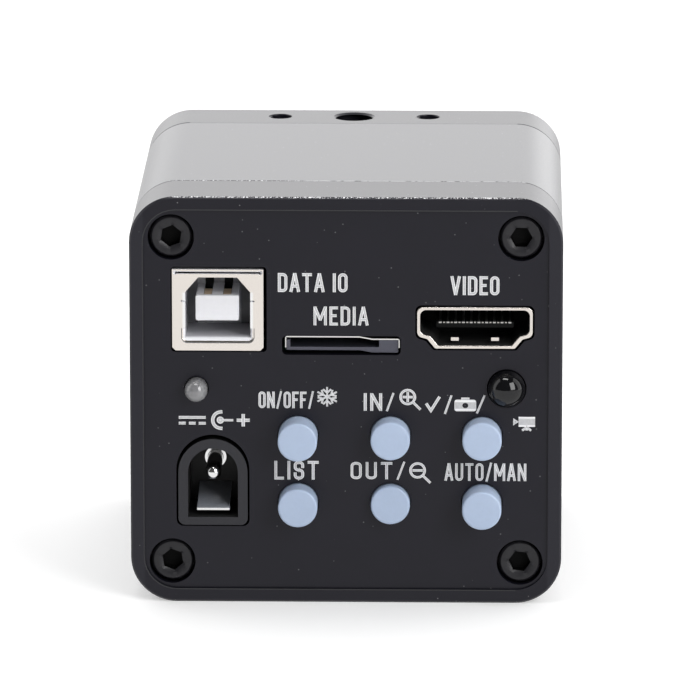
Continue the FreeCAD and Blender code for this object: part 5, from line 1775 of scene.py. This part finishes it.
BEND = 0.19
SLASH = 0.13
STEM = line((0.0, 0.0), (0.0, 1.0))
LOUPE = (ring(0.4, 0.6, 0.36), line((0.66, 0.34), (1.0, 0.0)), line((0.2, 0.6), (0.6, 0.6)))
GLYPHS: dict[str, Glyph] = {
    " ": Glyph(0.05, ()),
    "/": Glyph(0.3, (line((0.0, -0.06), (0.3, 1.06), width=SLASH),)),
    "A": Glyph(
        0.44, (line((0.0, 0.0), (0.2, 1.0)), line((0.24, 1.0), (0.44, 0.0)), line((0.14, 0.28), (0.3, 0.28)))
    ),
    "D": Glyph(0.4, (Stroke(((0.0, 0.0, 0.0), (0.4, 0.0, BEND), (0.4, 1.0, BEND), (0.0, 1.0, 0.0)), True),)),
    "E": Glyph(
        0.34, (line((0.34, 1.0), (0.0, 1.0), (0.0, 0.0), (0.34, 0.0)), line((0.1, 0.52), (0.26, 0.52)))
    ),
    "F": Glyph(0.34, (line((0.34, 1.0), (0.0, 1.0), (0.0, 0.0)), line((0.1, 0.52), (0.26, 0.52)))),
    "I": Glyph(0.0, (STEM,)),
    "L": Glyph(0.34, (line((0.0, 1.0), (0.0, 0.0), (0.34, 0.0)),)),
    "M": Glyph(
        0.62,
        (
            STEM,
            line((0.62, 1.0), (0.62, 0.0)),
            line((0.04, 0.95), (0.29, 0.3)),
            line((0.33, 0.3), (0.58, 0.95)),
        ),
    ),
    "N": Glyph(0.44, (STEM, line((0.44, 1.0), (0.44, 0.0)), line((0.05, 0.92), (0.39, 0.08)))),
    "O": Glyph(0.4, (frame_stroke(0.0, 0.0, 0.4, 1.0, BEND),)),
    "S": Glyph(
        0.38,
        (
            Stroke(
                (
                    (0.38, 0.72, 0.0),
                    (0.38, 1.0, BEND),
                    (0.0, 1.0, BEND),
                    (0.0, 0.51, BEND),
                    (0.38, 0.51, BEND),
                    (0.38, 0.0, BEND),
                    (0.0, 0.0, BEND),
                    (0.0, 0.28, 0.0),
                )
            ),
        ),
    ),
    "T": Glyph(0.42, (line((0.0, 1.0), (0.42, 1.0)), line((0.21, 0.92), (0.21, 0.0)))),
    "U": Glyph(0.4, (Stroke(((0.0, 1.0, 0.0), (0.0, 0.0, BEND), (0.4, 0.0, BEND), (0.4, 1.0, 0.0))),)),
    "V": Glyph(0.44, (line((0.0, 1.0), (0.2, 0.0)), line((0.24, 0.0), (0.44, 1.0)))),
    "tick": Glyph(0.6, (line((0.0, 0.5), (0.2, 0.1), (0.6, 0.95)),)),
    "direct": Glyph(
        1.25,
        (
            line((0.0, 0.64), (1.25, 0.64)),
            line((0.0, 0.28), (0.22, 0.28)),
            line((0.52, 0.28), (0.73, 0.28)),
            line((1.03, 0.28), (1.25, 0.28)),
        ),
    ),
    "centre_plus": Glyph(
        2.14,
        (
            half_ring(0.49, 0.5, 0.49),
            ring(0.46, 0.5, 0.116),
            line((0.6, 0.5), (1.17, 0.5), width=0.13),
            line((1.54, 0.5), (2.14, 0.5)),
            line((1.84, 0.22), (1.84, 0.78)),
        ),
    ),
    "freeze": Glyph(1.0, flake()),
    "zoom_in": Glyph(1.0, (*LOUPE, line((0.4, 0.4), (0.4, 0.8)))),
    "zoom_out": Glyph(1.0, LOUPE),
    "still": Glyph(
        1.3,
        (
            frame_stroke(0.0, 0.0, 1.3, 0.76, 0.1),
            line((0.33, 0.38), (0.97, 0.38), width=0.8),
            line((0.48, 0.88), (0.82, 0.88), width=0.24),
        ),
        (ring(0.65, 0.38, 0.11, 0.2),),
    ),
    "film": Glyph(
        1.4,
        (
            line((0.66, 0.66), (1.08, 0.66), width=0.76),
            Stroke(((0.24, 0.66, 0.0), (0.02, 0.83, 0.0), (0.02, 0.49, 0.0)), True, 0.12),
            line((0.86, 0.3), (0.86, 0.08), width=0.16),
            line((0.62, 0.04), (0.8, 0.2), width=0.16),
            line((1.1, 0.04), (0.92, 0.2), width=0.16),
        ),
    ),
}


@dataclass(frozen=True)
class Legend:
    """Row of signs engraved on the panel, from its lower left corner."""

    signs: tuple[str, ...]
    left: float
    foot: float
    width: float
    height: float = 2.5
    stroke: float = 0.38
    gap: float = 0.32
    layer: float = 0.002

    def engrave(self, white: MeshBuilder, dark: MeshBuilder, face: float, relief: float) -> None:
        """Add the row's strokes and the gaps in its filled signs, stretched across to its width.

        Args:
            white: Builder that takes the strokes.
            dark: Builder that takes the gaps, which lie on top of the strokes.
            face: Station of the panel's face.
            relief: Height of the strokes over the face and their depth in it.
        """
        natural = sum(GLYPHS[sign].width for sign in self.signs) + self.gap * (len(self.signs) - 1)
        across = (self.width - self.stroke) / natural
        up = self.height - self.stroke
        cursor = 0.0
        for sign in self.signs:
            glyph = GLYPHS[sign]
            layers = [(white, stroke) for stroke in glyph.strokes] + [(dark, stroke) for stroke in glyph.gaps]
            for index, (builder, stroke) in enumerate(layers):
                path = [
                    (
                        self.left + self.stroke / 2 + (cursor + u) * across,
                        self.foot + self.stroke / 2 + v * up,
                    )
                    for u, v in rounded(stroke.corners, stroke.closed)
                ]
                y = (face - relief - index * self.layer, face + relief)
                builder.ribbon(path, stroke.closed, stroke.width * up or self.stroke, y)
            cursor += glyph.width + self.gap


FINE = 0.26
THIN = 0.31
LEGENDS = (
    Legend(tuple("DATA IO"), -8.8, 14.4, 9.0),
    Legend(tuple("MEDIA"), -4.2, 10.0, 7.1, 2.5, 0.36),
    Legend(tuple("VIDEO"), 13.5, 14.1, 6.3),
    Legend(("direct",), -21.7, -3.9, 3.5, 2.5, 0.36),
    Legend(("centre_plus",), -17.5, -4.02, 5.02, 2.65, 0.42),
    Legend(tuple("ON/OFF/"), -11.35, -1.05, 7.2, 2.2, THIN),
    Legend(("freeze",), -3.9, -0.8, 2.9, 2.6, 0.22),
    Legend(tuple("IN/"), 2.3, -1.35, 4.0, 2.35),
    Legend(("zoom_in",), 6.8, -1.2, 2.9, 2.9, THIN),
    Legend(("tick", "/"), 10.3, -1.65, 3.5, 2.35, 0.36),
    Legend(("still",), 14.05, -1.35, 2.8, 1.95, FINE),
    Legend(("/",), 16.8, -1.6, 1.3, 2.35),
    Legend(("film",), 21.6, -4.0, 3.0, 2.0, FINE),
    Legend(tuple("LIST"), -9.3, -10.6, 5.75, 2.5, 0.36),
    Legend(tuple("OUT/"), 0.6, -10.5, 7.1, 2.3, 0.34),
    Legend(("zoom_out",), 8.1, -11.0, 2.9, 2.9, THIN),
    Legend(tuple("AUTO/MAN"), 12.8, -10.65, 10.6, 2.35, THIN),
)


@dataclass
class Legends:
    """Engraved signs beside the sockets and above the buttons."""

    relief: float = 0.012

    def build(self) -> None:
        """Engrave every row on the panel's face."""
        face = node_box("power_jack_body")[0].y
        white = MeshBuilder()
        dark = MeshBuilder()
        for legend in LEGENDS:
            legend.engrave(white, dark, face, self.relief)
        join(white.make("panel_legends", Look.ENGRAVED), HOUSING, "black_anodised")
        join(dark.make("panel_legend_gaps", Look.BLACK_ANODISED), HOUSING, "black_anodised")


# Whole camera


# The zones paint shade inside the sockets, on the contacts' rear and on the spring, and a highlight on the
# data socket's lip
SOFTENED_NODES = (
    SoftenedNode(
        "data_port_shell",
        Look.PLATE_STEEL,
        "socket_steel",
        zones=((0.03, Look.LIP_STEEL), (0.8, Look.SHADED_STEEL)),
    ),
    SoftenedNode(
        "data_port_insulator", Look.TONGUE_WHITE, "tongue_white", 0.08, ((4.3, Look.BLOCK_GREY),)
    ),
    SoftenedNode(
        "data_port_contacts", Look.CONTACT_BRASS, "contact_brass", 0.03, ((3.4, Look.DARK_STEEL),)
    ),
    SoftenedNode(
        "video_port_shell", Look.SOCKET_STEEL, "socket_steel", 0.08, ((0.15, Look.DARK_STEEL),), True
    ),
    SoftenedNode("video_port_insulator", Look.VIDEO_BLACK, "socket_black", 0.04),
    SoftenedNode("card_slot_shell", Look.COVER_STEEL, "socket_steel", 0.04),
    SoftenedNode("card_slot_housing", Look.SLOT_GREY, "socket_black", zones=((0.2, Look.SLOT_DEPTH),)),
    SoftenedNode(
        "power_jack_body", Look.SOCKET_BLACK, "socket_black", 0.12, ((0.3, Look.SOCKET_DEPTH),)
    ),
    SoftenedNode("power_jack_pin", Look.BRIGHT_STEEL, "contact_tin"),
    SoftenedNode(
        "power_jack_spring", Look.BRIGHT_STEEL, "contact_tin", 0.08, ((-1.0, Look.SPRING_STEEL),), True
    ),
    SoftenedNode("lens_ring", Look.RING_STEEL, "ring_steel", 0.06),
)


@dataclass
class MicroscopeCamera:
    """Every visible piece of the camera and the finish of every CAD node that stays."""

    frame: dict

    def build(self) -> None:
        """Make the pieces and dress the nodes."""
        Housing().build(self.frame)
        CapScrews("back_cover_screws", -1).build()
        CapScrews("front_cover_screws", 1).build()
        for name in BUTTON_NAMES:
            PushButton(name).build()
        ContactTips().build()
        TabLips().build()
        Lamp("status_led", Look.LED_LENS, "led_lens", barrel_inset=0.05).build()
        Lamp("remote_receiver", Look.RECEIVER_BLACK, "receiver_black").build()
        for softened in SOFTENED_NODES:
            softened.build(self.frame)
        Threads().build()
        TripodMouth().build()
        Legends().build()
        self.dress_nodes()

    def dress_nodes(self) -> None:
        """Give every CAD node its finish, by the record's slot."""
        for part in self.frame["record"]["subparts"]:
            materials = self.frame["nodes"][part["node"]].data.materials
            materials.clear()
            materials.append(Look[part["material_slot"].upper()].material())


def main() -> None:
    """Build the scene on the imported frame."""
    logging.basicConfig(level=logging.INFO, format="%(name)s: %(message)s")
    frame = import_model()
    MicroscopeCamera(frame).build()
    Studio().build()
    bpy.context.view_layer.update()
    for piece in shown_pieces():
        LOG.info("%s", piece.name)


if __name__ == "__main__":
    main()
